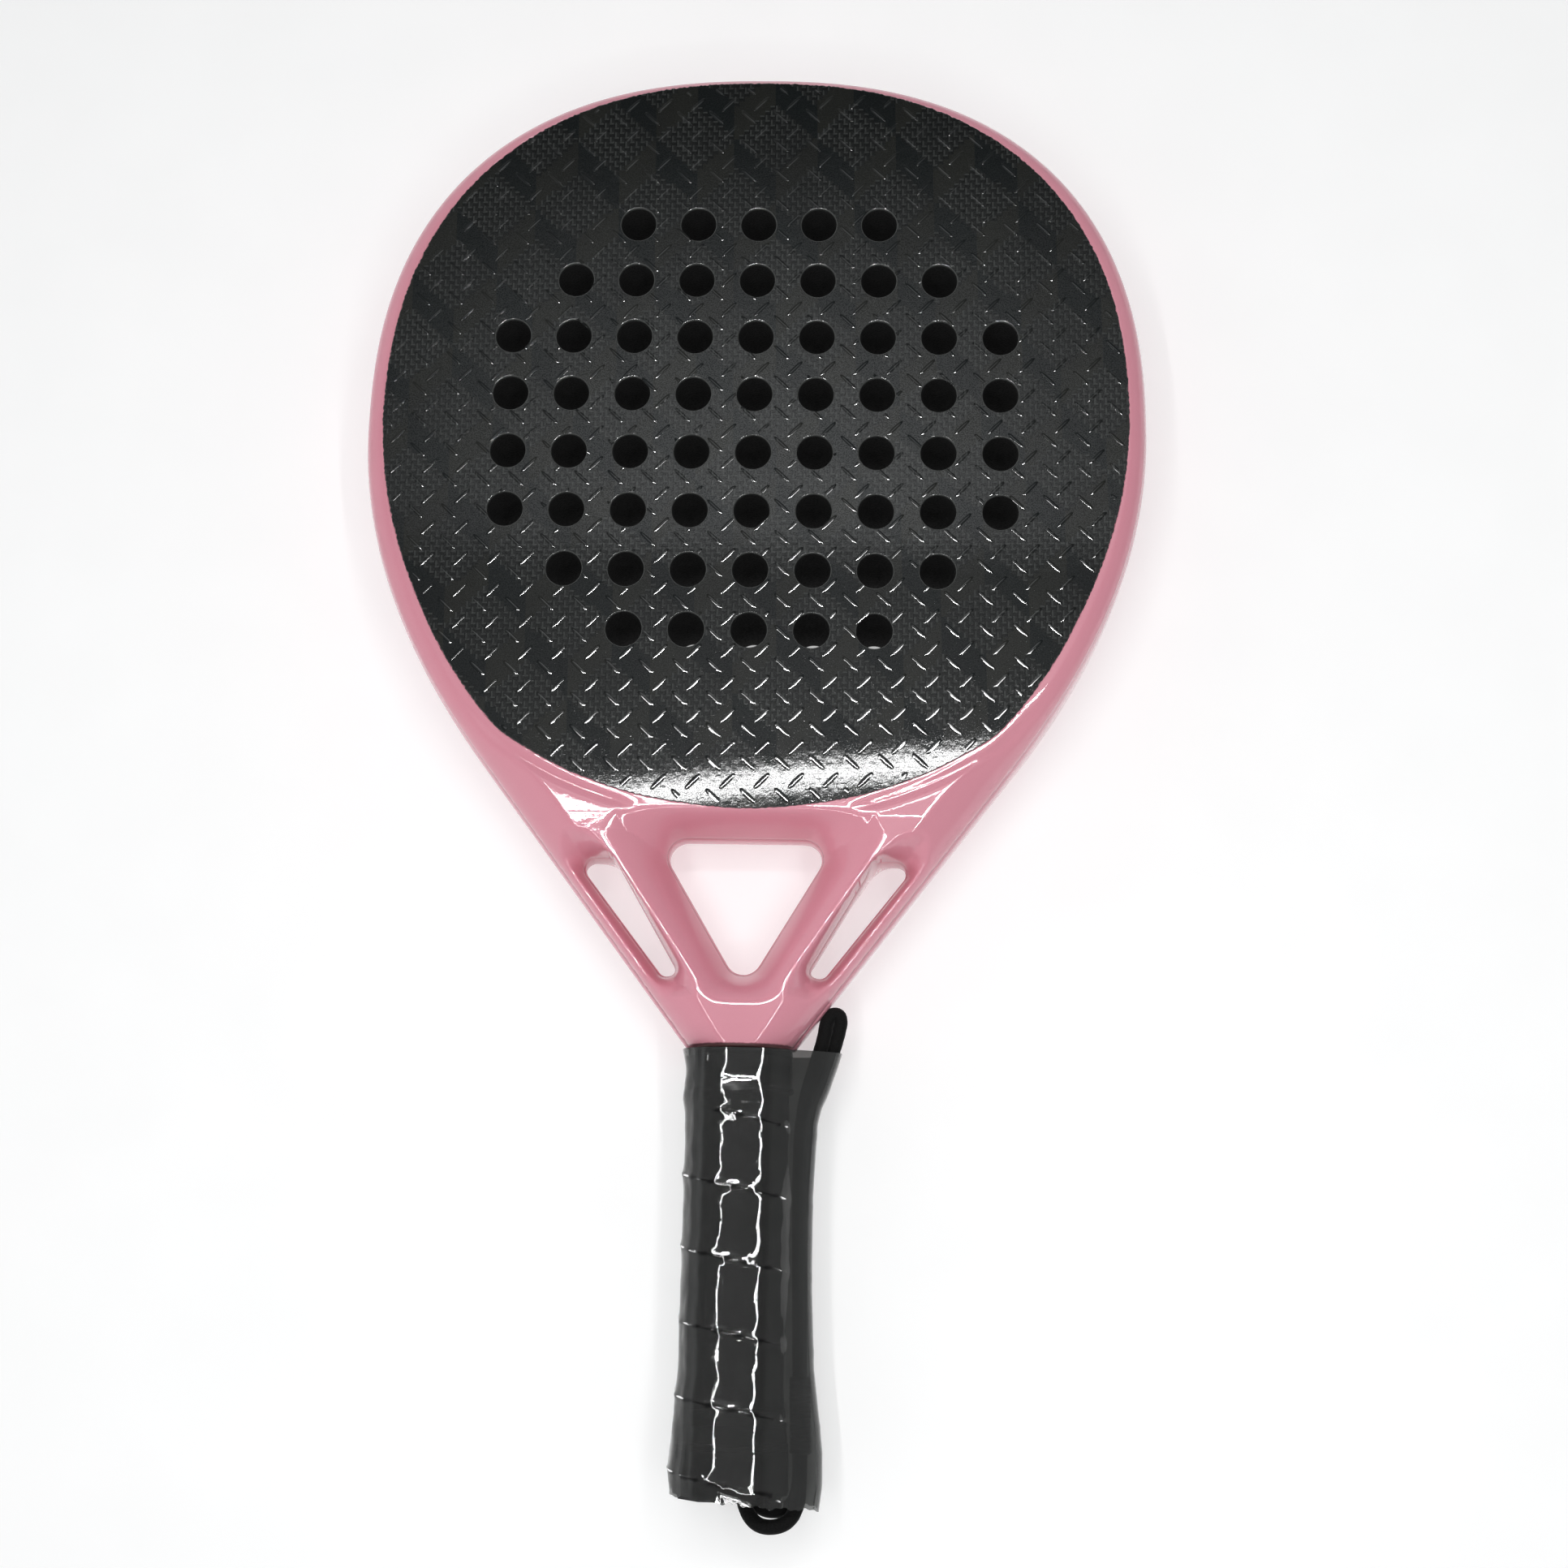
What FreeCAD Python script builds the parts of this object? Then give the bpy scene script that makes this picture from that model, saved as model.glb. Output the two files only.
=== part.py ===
import FreeCAD, Part
import math
import os

from FreeCAD import Vector

# Padel racket lying on its back face. +Y runs from the butt to the head tip, +Z out of the front
# face. The origin is the bottom centre of the racket's bounding box. Millimetres throughout.

document = FreeCAD.newDocument("padel_racket")
sheet = document.addObject("Spreadsheet::Sheet", "sizes")

DRIVING_SIZES = (
    ("total_length", 455.0, "head tip to butt end"),
    ("head_half_width", 126.5, "half of the widest part of the head"),
    ("thickness", 38.0, "back face to front face"),
    ("grid_centre_y", 103.0, "centre of the hole pattern, where the head is widest"),
    ("head_roundness", 2.4, "exponent of the head's upper curve"),
    ("flank_bend", 0.00347, "how fast the head narrows below its widest line"),
    ("leg_start", 110.0, "below the grid centre, where the curved flank turns into a straight leg"),
    ("throat_end_y", -96.0, "where the moulded frame meets the handle"),
    ("edge_radius", 5.0, "rounding of the frame's outer edges"),
    ("taper_start_y", -25.0, "where the throat starts to get thinner"),
    ("taper_depth", 3.2, "how much each side of the throat drops at the handle"),
    ("skin_thickness", 1.0, "one carbon face"),
    ("face_half_width", 119.8, "half of the carbon face"),
    ("face_rise", 120.0, "grid centre to the face's top"),
    ("face_roundness", 2.35, "exponent of the face's upper curve"),
    ("bond_width", 8.0, "how far each face laps over the frame tube"),
    ("hole_pitch", 19.7, "spacing of the face holes both ways"),
    ("hole_diameter", 11.4, "drilled through faces and core"),
    ("tube_wall", 2.5, "laminate around the foam of the frame tube"),
    ("tube_foam_width", 9.0, "width of the foam in the frame tube"),
    ("shaft_width", 20.0, "hollow shaft inside the handle"),
    ("shaft_depth", 18.0, "hollow shaft inside the handle"),
    ("shaft_wall", 1.6, "hollow shaft inside the handle"),
    ("shaft_end_y", -206.0, "end of the shaft, inside the butt cap"),
    ("grip_half_width", 15.0, "outside of the base grip"),
    ("grip_half_depth", 14.8, "outside of the base grip"),
    ("grip_thickness", 1.8, "base grip"),
    ("flare", 1.9, "how far the butt stands out past the grip"),
    ("grip_top_y", -97.0, "start of the base grip"),
    ("flare_start_y", -197.0, "start of the butt's flare"),
    ("flare_end_y", -216.0, "end of the butt's flare"),
    ("cap_joint_y", -203.0, "where the pallets end inside the butt cap"),
    ("skirt_top_y", -194.0, "end of the butt cap's skirt"),
    ("skirt_thickness", 1.6, "butt cap's skirt over the pallets"),
    ("cap_floor", 3.5, "end wall of the butt cap"),
    ("cap_cavity_radius", 9.5, "pocket for the knot"),
    ("cord_hole_radius", 6.5, "hole in the end wall"),
    ("collar_end_y", -108.7, "lower edge of the rubber collar"),
    ("collar_thickness", 0.95, "rubber collar"),
    ("tape_end_y", -112.0, "lower edge of the finishing tape"),
    ("tape_thickness", 0.25, "finishing tape"),
    ("film_thickness", 0.2, "clear film sleeve"),
    ("cord_diameter", 4.4, "braided wrist cord"),
    ("knot_radius", 8.2, "knot inside the butt cap"),
    ("knot_length", 12.0, "knot inside the butt cap"),
    ("slider_length", 22.0, "rubber slider on the wrist cord"),
    ("slider_wall", 0.8, "rubber slider"),
    ("slider_gap", 0.3, "running clearance between slider and cord"),
    ("slider_centre_y", -203.5, "rest place of the slider"),
)
for row, (alias, value, note) in enumerate(DRIVING_SIZES, start=1):
    sheet.set(f"A{row}", note)
    sheet.set(f"B{row}", str(value))
    sheet.setAlias(f"B{row}", alias)
document.recompute()


def size(alias):
    """The value of one driving dimension."""
    return float(getattr(sheet, alias))


MIDDLE_Z = size("thickness") / 2
HEAD_TOP = size("total_length") / 2
BUTT_END = -size("total_length") / 2
GRID_Y = size("grid_centre_y")
BIG = 300.0
HOLES_IN_ROW = (5, 7, 9, 9, 9, 9, 7, 5)


# ---- small helpers ---------------------------------------------------------------------------


def fixed_shape(name, shape):
    """An outline or other helper shape that nothing in FreeCAD's primitives can hold."""
    feature = document.addObject("Part::Feature", name)
    feature.Shape = shape
    return feature


def extrude(name, outline, low, high):
    """A prism along Z between two heights, each an expression on the sheet."""
    prism = document.addObject("Part::Extrusion", name)
    prism.Base = outline
    prism.DirMode = "Custom"
    prism.Dir = Vector(0, 0, 1)
    prism.Solid = True
    prism.setExpression("LengthFwd", f"{high} - ({low})")
    prism.setExpression("Placement.Base.z", low)
    return prism


def box(name, x_range, y_range, z_range):
    """A box between pairs of expressions."""
    block = document.addObject("Part::Box", name)
    for side, axis, (low, high) in zip(
        ("Length", "Width", "Height"), "xyz", (x_range, y_range, z_range)
    ):
        block.setExpression(side, f"{high} - ({low})")
        block.setExpression(f"Placement.Base.{axis}", low)
    return block


def cylinder_along_y(name, radius, start_y, end_y, z="sizes.thickness / 2"):
    """A round bar from start_y down to end_y, centred on X."""
    bar = document.addObject("Part::Cylinder", name)
    bar.setExpression("Radius", radius)
    bar.setExpression("Height", f"{start_y} - ({end_y})")
    bar.Placement.Rotation = FreeCAD.Rotation(Vector(1, 0, 0), 90)
    bar.setExpression("Placement.Base.y", start_y)
    bar.setExpression("Placement.Base.z", z)
    return bar


def cut(name, base, *tools):
    """base less every tool."""
    for index, tool in enumerate(tools):
        result = document.addObject("Part::Cut", name if index == len(tools) - 1 else f"{name}_{index}")
        result.Base = base
        result.Tool = tool
        base = result
    return base


def common(name, *shapes):
    result = document.addObject("Part::MultiCommon", name)
    result.Shapes = list(shapes)
    return result


def fuse(name, *shapes):
    result = document.addObject("Part::MultiFuse", name)
    result.Shapes = list(shapes)
    return result


def spline(points, closed):
    curve = Part.BSplineCurve()
    curve.interpolate(Points=[Vector(x, y, 0) for x, y in points], PeriodicFlag=closed)
    return curve.toShape()


# ---- plan outlines ---------------------------------------------------------------------------


def upper_quarter(half_width, rise, roundness, steps=9):
    """Superellipse points from the head's top down to its widest line, right side."""
    points = []
    for step in range(steps + 1):
        angle = math.radians(90.0 * (1 - step / steps))
        x = half_width * max(math.cos(angle), 0.0) ** (2 / roundness)
        y = rise * max(math.sin(angle), 0.0) ** (2 / roundness)
        points.append((x if step else 0.0, GRID_Y + y))
    return points


def frame_half_width(below, inset=0.0):
    """Half width of the frame at a distance below its widest line."""
    start, bend = size("leg_start"), size("flank_bend")
    curved = min(below, start)
    straight = below - curved
    return size("head_half_width") - inset - bend * curved**2 - 2 * bend * start * straight


def frame_face(inset=0.0, end_y=size("throat_end_y") - 4):
    """Plan of the whole moulded frame: round head, curved flanks, straight legs."""
    rise = HEAD_TOP - GRID_Y - inset
    right = upper_quarter(size("head_half_width") - inset, rise, size("head_roundness"))
    flank_steps = 5
    for step in range(1, flank_steps + 1):
        below = size("leg_start") * step / flank_steps
        right.append((frame_half_width(below, inset), GRID_Y - below))
    left = [(-x, y) for x, y in reversed(right[1:])]
    head = spline(left + right, closed=False)
    corner_x = frame_half_width(GRID_Y - end_y, inset)
    leg_x, leg_y = right[-1]
    corners = [
        Vector(leg_x, leg_y, 0),
        Vector(corner_x, end_y, 0),
        Vector(-corner_x, end_y, 0),
        Vector(-leg_x, leg_y, 0),
    ]
    return Part.Face(Part.Wire([head] + Part.makePolygon(corners).Edges))


def moved_inwards(points, distance):
    """A closed ring of clockwise points, each moved square to the line between its neighbours."""
    moved = []
    for index, (x, y) in enumerate(points):
        before, after = points[index - 1], points[(index + 1) % len(points)]
        along = Vector(after[0] - before[0], after[1] - before[1], 0)
        along.normalize()
        moved.append((x + distance * along.y, y - distance * along.x))
    return moved


def face_wire(inset=0.0):
    """Edge of a carbon face: round above, drawn in below to a shallow bottom arc."""
    right = upper_quarter(size("face_half_width"), size("face_rise"), size("face_roundness"))
    lower = ((117.8, 20.0), (112.8, 40.0), (105.0, 60.0), (94.5, 80.0), (80.0, 99.3))
    bottom = ((67.5, 108.3), (50.0, 116.8), (28.0, 123.2))
    right += [(x, GRID_Y - below) for x, below in lower + bottom]
    points = right + [(0.0, GRID_Y - 126.0)] + [(-x, y) for x, y in reversed(right[1:])]
    return Part.Wire([spline(moved_inwards(points, inset), closed=True)])


def rounded_polygon(corners):
    """Closed wire through (x, y, radius) corners, each rounded by a tangent arc."""
    count = len(corners)
    starts, arcs = [], []
    for index, (x, y, radius) in enumerate(corners):
        here = Vector(x, y, 0)
        before = Vector(*corners[index - 1][:2], 0) - here
        after = Vector(*corners[(index + 1) % count][:2], 0) - here
        before.normalize()
        after.normalize()
        half = before.getAngle(after) / 2
        reach = radius / math.tan(half)
        centre_way = before + after
        centre_way.normalize()
        middle = here + centre_way * (radius / math.sin(half) - radius)
        start, end = here + before * reach, here + after * reach
        starts.append((start, end))
        arcs.append(Part.Arc(start, middle, end).toShape())
    edges = []
    for index in range(count):
        edges.append(arcs[index])
        edges.append(Part.LineSegment(starts[index][1], starts[(index + 1) % count][0]).toShape())
    return Part.Wire(edges)


# Throat windows: (x, distance below the grid centre, corner radius).
TRIANGLE = ((28.8, 134.0, 5.5), (0.0, 181.8, 5.6), (-28.8, 134.0, 5.5))
SLOT = ((53.2, 140.2, 3.6), (25.0, 176.4, 2.8), (20.2, 175.6, 1.6), (41.0, 140.2, 4.6))


def window(corners, side=1):
    """A throat window's face, mirrored when side is -1."""
    return Part.Face(rounded_polygon([(side * x, GRID_Y - below, r) for x, below, r in corners]))


def bridge_face():
    """Plan of everything between the two outer legs, below the head."""
    top, foot = 97.0, GRID_Y - size("throat_end_y") + 2
    slope, anchor_x, anchor_below = 0.779, 50.8, 143.3
    top_x = anchor_x + slope * (anchor_below - top)
    foot_x = anchor_x - slope * (foot - anchor_below)
    corners = [(top_x, GRID_Y - top), (foot_x, GRID_Y - foot)]
    ring = [Vector(x, y, 0) for x, y in corners]
    ring += [Vector(-v.x, v.y, 0) for v in reversed(ring)]
    return Part.Face(Part.makePolygon(ring + [ring[0]]))


# ---- head and throat -------------------------------------------------------------------------


def rounded_frame_blank():
    """The frame's full outline as one plate with rounded outer edges, thinner towards the handle."""
    plate = extrude("frame_plate", fixed_shape("frame_plan", frame_face()), "0", "sizes.thickness")
    document.recompute()
    rounding = document.addObject("Part::Fillet", "frame_plate_rounded")
    rounding.Base = plate
    radius = size("edge_radius")
    end_y = plate.Shape.BoundBox.YMin
    edges = []
    for number, edge in enumerate(plate.Shape.Edges, start=1):
        flat = edge.BoundBox.ZLength < 0.01
        if flat and edge.BoundBox.YMax > end_y + 1:
            edges.append((number, radius, radius))
    rounding.Edges = edges
    low, full = size("taper_depth"), size("thickness")
    outline = [
        (-BIG, low),
        (size("throat_end_y"), low),
        (size("taper_start_y"), 0),
        (BIG, 0),
        (BIG, full),
        (size("taper_start_y"), full),
        (size("throat_end_y"), full - low),
        (-BIG, full - low),
    ]
    points = [Vector(-BIG / 2, y, z) for y, z in outline]
    side = fixed_shape("side_profile", Part.Face(Part.makePolygon(points + [points[0]])))
    wedge = document.addObject("Part::Extrusion", "side_wedge")
    wedge.Base = side
    wedge.DirMode = "Custom"
    wedge.Dir = Vector(1, 0, 0)
    wedge.LengthFwd = BIG
    wedge.Solid = True
    keep = box("above_handle", ("-150", "150"), ("sizes.throat_end_y", "300"), ("-1", "60"))
    return common("frame_blank", rounding, wedge, keep)


def hole_drills():
    """One drill per face hole, in rows that narrow towards the top and bottom."""
    drills = []
    rows = len(HOLES_IN_ROW)
    for row, count in enumerate(HOLES_IN_ROW):
        for place in range(count):
            drill = document.addObject("Part::Cylinder", f"drill_{row}_{place}")
            drill.setExpression("Radius", "sizes.hole_diameter / 2")
            drill.setExpression("Height", "sizes.thickness + 10")
            across = place - (count - 1) / 2
            along = (rows - 1) / 2 - row
            drill.setExpression("Placement.Base.x", f"{across} * sizes.hole_pitch")
            drill.setExpression("Placement.Base.y", f"sizes.grid_centre_y + {along} * sizes.hole_pitch")
            drill.Placement.Base.z = -5
            drills.append(drill)
    bundle = document.addObject("Part::Compound", "hole_drills")
    bundle.Links = drills
    return bundle


def build_head():
    """Frame tube with its foam, throat bridge, core slab and the two carbon faces."""
    blank = rounded_frame_blank()
    face_plan = fixed_shape("face_plan", Part.Face(face_wire()))
    core_plan = fixed_shape("core_plan", Part.Face(face_wire(size("bond_width"))))
    bridge_plan = fixed_shape("bridge_plan", bridge_face())

    front = extrude("front_blank", face_plan, "sizes.thickness - sizes.skin_thickness", "sizes.thickness")
    back = extrude("back_blank", face_plan, "0", "sizes.skin_thickness")
    core = extrude(
        "core_blank", core_plan, "sizes.skin_thickness", "sizes.thickness - sizes.skin_thickness"
    )
    drills = hole_drills()
    skin_front = cut("front_face_skin", front, drills)
    skin_back = cut("back_face_skin", back, drills)
    slab = cut("core_slab", core, drills)

    frame = cut("frame_without_faces", blank, core, front, back)
    between_legs = extrude("between_legs", bridge_plan, "-1", "sizes.thickness + 1")

    wall = size("tube_wall")
    foam_outer = fixed_shape("foam_outer_plan", frame_face(wall))
    foam_inner = fixed_shape("foam_inner_plan", frame_face(wall + size("tube_foam_width")))
    low, high = "sizes.tube_wall + 0.5", "sizes.thickness - sizes.tube_wall - 0.5"
    foam_ring = cut(
        "foam_ring",
        extrude("foam_outer", foam_outer, low, high),
        extrude("foam_inner", foam_inner, low, high),
    )
    foam_keep = box("above_throat", ("-150", "150"), ("20", "300"), ("-1", "60"))
    foam = common("frame_foam", foam_ring, foam_keep)
    tube = cut("frame_tube", frame, between_legs, foam)

    windows = [fixed_shape("triangle_plan", window(TRIANGLE))]
    windows.append(fixed_shape("right_slot_plan", window(SLOT)))
    windows.append(fixed_shape("left_slot_plan", window(SLOT, -1)))
    cutters = [extrude(f"{plan.Name}_cutter", plan, "-1", "sizes.thickness + 1") for plan in windows]
    bridge = cut("throat_bridge", common("bridge_blank", frame, between_legs), *cutters)
    tube_clear = cut("frame_tube_clear", tube, *cutters[1:])
    return {
        "frame_tube": tube_clear,
        "frame_foam": foam,
        "throat_bridge": bridge,
        "core_slab": slab,
        "front_face_skin": skin_front,
        "back_face_skin": skin_back,
    }


# ---- handle ----------------------------------------------------------------------------------


def octagon(name, y, half_width, half_depth, right=None):
    """Eight-sided section across Y. right, where given, is how far the right side reaches."""
    right = half_width if right is None else right
    flat_x, flat_z = 0.55 * half_width, 0.45 * half_depth
    corners = [
        (right, -flat_z),
        (right, flat_z),
        (flat_x, half_depth),
        (-flat_x, half_depth),
        (-half_width, flat_z),
        (-half_width, -flat_z),
        (-flat_x, -half_depth),
        (flat_x, -half_depth),
    ]
    points = [Vector(x, y, MIDDLE_Z + z) for x, z in corners]
    return fixed_shape(name, Part.makePolygon(points + [points[0]]))


def loft(name, stations):
    """Straight-sided solid through octagons, each (y, half width, half depth[, right])."""
    result = document.addObject("Part::Loft", name)
    result.Sections = [octagon(f"{name}_{n}", *station) for n, station in enumerate(stations)]
    result.Solid = True
    result.Ruled = True
    return result


def handle_envelope(name, grow, start_y, end_y):
    """The handle's octagon with its flared butt, grown outwards from the grip's outside."""
    width, depth = size("grip_half_width") + grow, size("grip_half_depth") + grow
    flare = size("flare")
    stations = [
        (start_y, width, depth),
        (size("flare_start_y"), width, depth),
        (size("flare_end_y"), width + flare, depth + flare),
        (end_y, width + flare, depth + flare),
    ]
    return loft(name, stations)


def build_handle():
    """Shaft with its foam, two pallets, butt cap with staples, grip, tape and collar."""
    far = ("-60", "60")
    under = -size("grip_thickness")
    core = handle_envelope("handle_core", under, size("throat_end_y"), BUTT_END)

    shaft_x = ("-sizes.shaft_width / 2", "sizes.shaft_width / 2")
    shaft_y = ("sizes.shaft_end_y", "sizes.throat_end_y")
    half_depth = "sizes.shaft_depth / 2"
    shaft_z = (f"sizes.thickness / 2 - {half_depth}", f"sizes.thickness / 2 + {half_depth}")
    shaft_block = box("shaft_block", shaft_x, shaft_y, shaft_z)
    inner_x = tuple(f"{edge} {sign} sizes.shaft_wall" for edge, sign in zip(shaft_x, "+-"))
    inner_z = tuple(f"{edge} {sign} sizes.shaft_wall" for edge, sign in zip(shaft_z, "+-"))
    shaft_foam = box("shaft_foam", inner_x, shaft_y, inner_z)
    shaft = cut("handle_shaft", shaft_block, shaft_foam)

    inset = under - size("skirt_thickness")
    width, depth = size("grip_half_width") + inset, size("grip_half_depth") + inset
    tongue = loft(
        "pallet_tongue",
        [(size("skirt_top_y"), width, depth), (size("cap_joint_y"), width, depth)],
    )
    upper = box("upper_handle", far, ("sizes.skirt_top_y", "0"), far)
    pallet_block = cut(
        "pallet_block", fuse("pallets_solid", common("pallet_upper", core, upper), tongue), shaft_block
    )
    front_half = box("front_half", far, ("-300", "0"), ("sizes.thickness / 2", "60"))
    back_half = box("back_half", far, ("-300", "0"), ("-60", "sizes.thickness / 2"))
    pallet_front = common("handle_pallet_front", pallet_block, front_half)
    pallet_back = common("handle_pallet_back", pallet_block, back_half)

    lower = box("lower_handle", far, ("-300", "sizes.skirt_top_y"), far)
    end = "-sizes.total_length / 2"
    cavity = cylinder_along_y(
        "knot_cavity", "sizes.cap_cavity_radius", "sizes.cap_joint_y + 1", f"{end} + sizes.cap_floor"
    )
    cord_hole = cylinder_along_y("cord_hole", "sizes.cord_hole_radius", f"{end} + 10", f"{end} - 5")
    cap = cut("butt_cap", common("cap_solid", core, lower), tongue, shaft_block, cavity, cord_hole)

    grip = cut(
        "grip_wrap",
        handle_envelope("grip_outside", 0.0, size("grip_top_y"), BUTT_END + 1.5),
        handle_envelope("grip_inside", under, size("grip_top_y") + 1, BUTT_END - 1),
    )
    tape_grow = size("tape_thickness")
    tape = sleeve("finishing_tape", 0.0, tape_grow, size("grip_top_y"), size("tape_end_y"))
    collar = sleeve(
        "grip_collar",
        tape_grow,
        tape_grow + size("collar_thickness"),
        size("throat_end_y"),
        size("collar_end_y"),
    )
    return {
        "handle_shaft": shaft,
        "shaft_foam": shaft_foam,
        "handle_pallet_front": pallet_front,
        "handle_pallet_back": pallet_back,
        "butt_cap": cap,
        "butt_cap_staples": build_staples(),
        "grip_wrap": grip,
        "finishing_tape": tape,
        "grip_collar": collar,
    }


def sleeve(name, inner_grow, outer_grow, start_y, end_y):
    """A straight octagonal band around the grip."""
    width, depth = size("grip_half_width"), size("grip_half_depth")
    outer = loft(
        f"{name}_outside",
        [(y, width + outer_grow, depth + outer_grow) for y in (start_y, end_y)],
    )
    inner = loft(
        f"{name}_inside",
        [(y, width + inner_grow, depth + inner_grow) for y in (start_y + 1, end_y - 1)],
    )
    return cut(name, outer, inner)


def build_staples():
    """Four wire staples, two on each side, that pin the cap's skirt to the pallets."""
    wire, crown, leg = 0.7, 7.0, 3.4
    surface = size("grip_half_depth") - size("grip_thickness") - 0.05
    y = size("skirt_top_y") - 4
    staples = []
    for side in (-1, 1):
        for x in (-4.2, 4.2):
            crown_z = MIDDLE_Z + side * (surface - wire / 2)
            leg_z = MIDDLE_Z + side * (surface - leg / 2)
            crown_shape = Part.makeBox(crown / 2 + 1, wire, wire, Vector(0, y, 0))
            crown_shape.translate(Vector(x - crown_shape.BoundBox.XLength / 2, 0, crown_z - wire / 2))
            shape = crown_shape
            for end in (-1, 1):
                leg_x = x + end * (crown_shape.BoundBox.XLength - wire) / 2 - wire / 2
                shape = shape.fuse(Part.makeBox(wire, wire, leg, Vector(leg_x, y, leg_z - leg / 2)))
            staples.append(shape.removeSplitter())
    return fixed_shape("butt_cap_staples", Part.Compound(staples))


def build_film():
    """Clear film sleeve shrunk over the grip, with room at the right for the folded cord."""
    skin = size("film_thickness")
    stations = (
        (-96.3, 17.4, 17.0, 30.6),
        (-108.0, 16.9, 16.7, 26.9),
        (-118.0, 15.6, 15.4, 23.4),
        (-140.0, 15.6, 15.4, 22.4),
        (-190.0, 15.6, 15.4, 23.6),
        (-214.0, 17.6, 17.4, 26.5),
        (BUTT_END, 17.6, 17.4, 25.6),
    )
    outer = loft("film_outside", [(y, w + skin, d + skin, r + skin) for y, w, d, r in stations])
    inner = loft("film_inside", stations)
    return cut("grip_film_sleeve", outer, inner)


# ---- wrist cord ------------------------------------------------------------------------------

# Route of the cord, out of the butt cap, up beside the grip, round its loop and back again.
CORD_ROUTE = (
    (3.2, -219.0, 21.35),
    (3.2, -235.3, 21.35),
    (20.0, -235.3, 21.45),
    (20.6, -215.0, 21.35),
    (19.6, -179.0, 21.35),
    (18.6, -140.0, 21.45),
    (19.9, -115.0, 22.2),
    (24.4, -99.0, 23.2),
    (28.2, -84.6, 23.9),
    (30.6, -84.6, 14.3),
    (26.0, -99.5, 15.0),
    (20.6, -116.0, 15.9),
    (18.7, -140.5, 16.55),
    (19.6, -179.0, 16.65),
    (20.6, -215.0, 16.65),
    (20.0, -235.3, 16.55),
    (3.2, -235.3, 16.65),
    (3.2, -219.0, 16.65),
)
ARC_SHARE = 0.45


def route_wire(route):
    """Straight runs joined by tangent arcs, each as large as its two runs allow."""
    points = [Vector(*point) for point in route]
    edges = []
    last = points[0]
    for before, here, after in zip(points, points[1:], points[2:]):
        back, on = before - here, after - here
        turn = math.pi - back.getAngle(on)
        reach = ARC_SHARE * min(back.Length, on.Length)
        radius = reach / math.tan(turn / 2)
        print(f"cord bend radius {radius:9.1f}, turn {math.degrees(turn):5.1f} degrees")
        back.normalize()
        on.normalize()
        start, end = here + back * reach, here + on * reach
        inward = back + on
        inward.normalize()
        middle = here + inward * (radius / math.cos(turn / 2) - radius)
        edges.append(Part.LineSegment(last, start).toShape())
        edges.append(Part.Arc(start, middle, end).toShape())
        last = end
    edges.append(Part.LineSegment(last, points[-1]).toShape())
    return Part.Wire(edges)


def build_cord():
    """The folded cord as one round tube; its volume is checked against section times length."""
    radius = size("cord_diameter") / 2
    path = route_wire(CORD_ROUTE)
    start = Vector(*CORD_ROUTE[0])
    circle = Part.Wire(Part.Circle(start, Vector(0, 1, 0), radius).toShape())
    tube = path.makePipeShell([circle], True, True)
    expected = math.pi * radius**2 * path.Length
    print(f"cord length {path.Length:.1f}, volume ratio {tube.Volume / expected:.4f}")
    if abs(tube.Volume / expected - 1) > 0.01:
        raise ValueError("the cord's tube has the wrong volume")
    return fixed_shape("wrist_cord", tube)


def build_knot():
    """Knotted end of the cord, wider than the hole in the butt cap."""
    top = f"{CORD_ROUTE[0][1]} + sizes.knot_length"
    bar = cylinder_along_y("knot_bar", "sizes.knot_radius", top, f"{CORD_ROUTE[0][1]}")
    ball = document.addObject("Part::Sphere", "knot_ball")
    ball.setExpression("Radius", "sizes.knot_radius + 1.2")
    ball.setExpression("Placement.Base.y", f"{CORD_ROUTE[0][1]} + sizes.knot_length / 2")
    ball.setExpression("Placement.Base.z", "sizes.thickness / 2")
    return common("cord_knot", bar, ball)


def obround_bar(name, half_width, half_height, length):
    """A bar of length along Y whose section is a slot shape standing up in Z, centred on 0."""
    straight = half_height - half_width
    sides = box(
        f"{name}_sides",
        (f"-{half_width}", f"{half_width}"),
        (f"-{length} / 2", f"{length} / 2"),
        (f"-{straight}", f"{straight}"),
    )
    ends = []
    for label, z in (("upper", straight), ("lower", -straight)):
        end = cylinder_along_y(
            f"{name}_{label}", f"{half_width}", f"{length} / 2", f"-{length} / 2", z=f"{z}"
        )
        ends.append(end)
    return fuse(name, sides, *ends)


def build_slider():
    """Ribbed rubber slider that holds both strands of the cord together."""
    clear = size("cord_diameter") / 2 + size("slider_gap")
    strand_rise = CORD_ROUTE[3][2] - MIDDLE_Z
    wall, length = size("slider_wall"), size("slider_length")
    outer = obround_bar("slider_body", clear + wall, clear + strand_rise + wall, length)
    inner = obround_bar("slider_bore", clear, clear + strand_rise, length + 4)
    slider = cut("cord_slider", outer, inner)
    low, high = Vector(*CORD_ROUTE[3]), Vector(*CORD_ROUTE[5])
    share = (size("slider_centre_y") - low.y) / (high.y - low.y)
    lean = math.degrees(math.atan2(low.x - high.x, high.y - low.y))
    x = low.x + share * (high.x - low.x)
    rotation = FreeCAD.Rotation(Vector(0, 0, 1), lean)
    slider.Placement = FreeCAD.Placement(Vector(x, size("slider_centre_y"), MIDDLE_Z), rotation)
    print(f"slider axis {rotation.multVec(Vector(0, 1, 0))}")
    return slider


# ---- assembly --------------------------------------------------------------------------------


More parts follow.
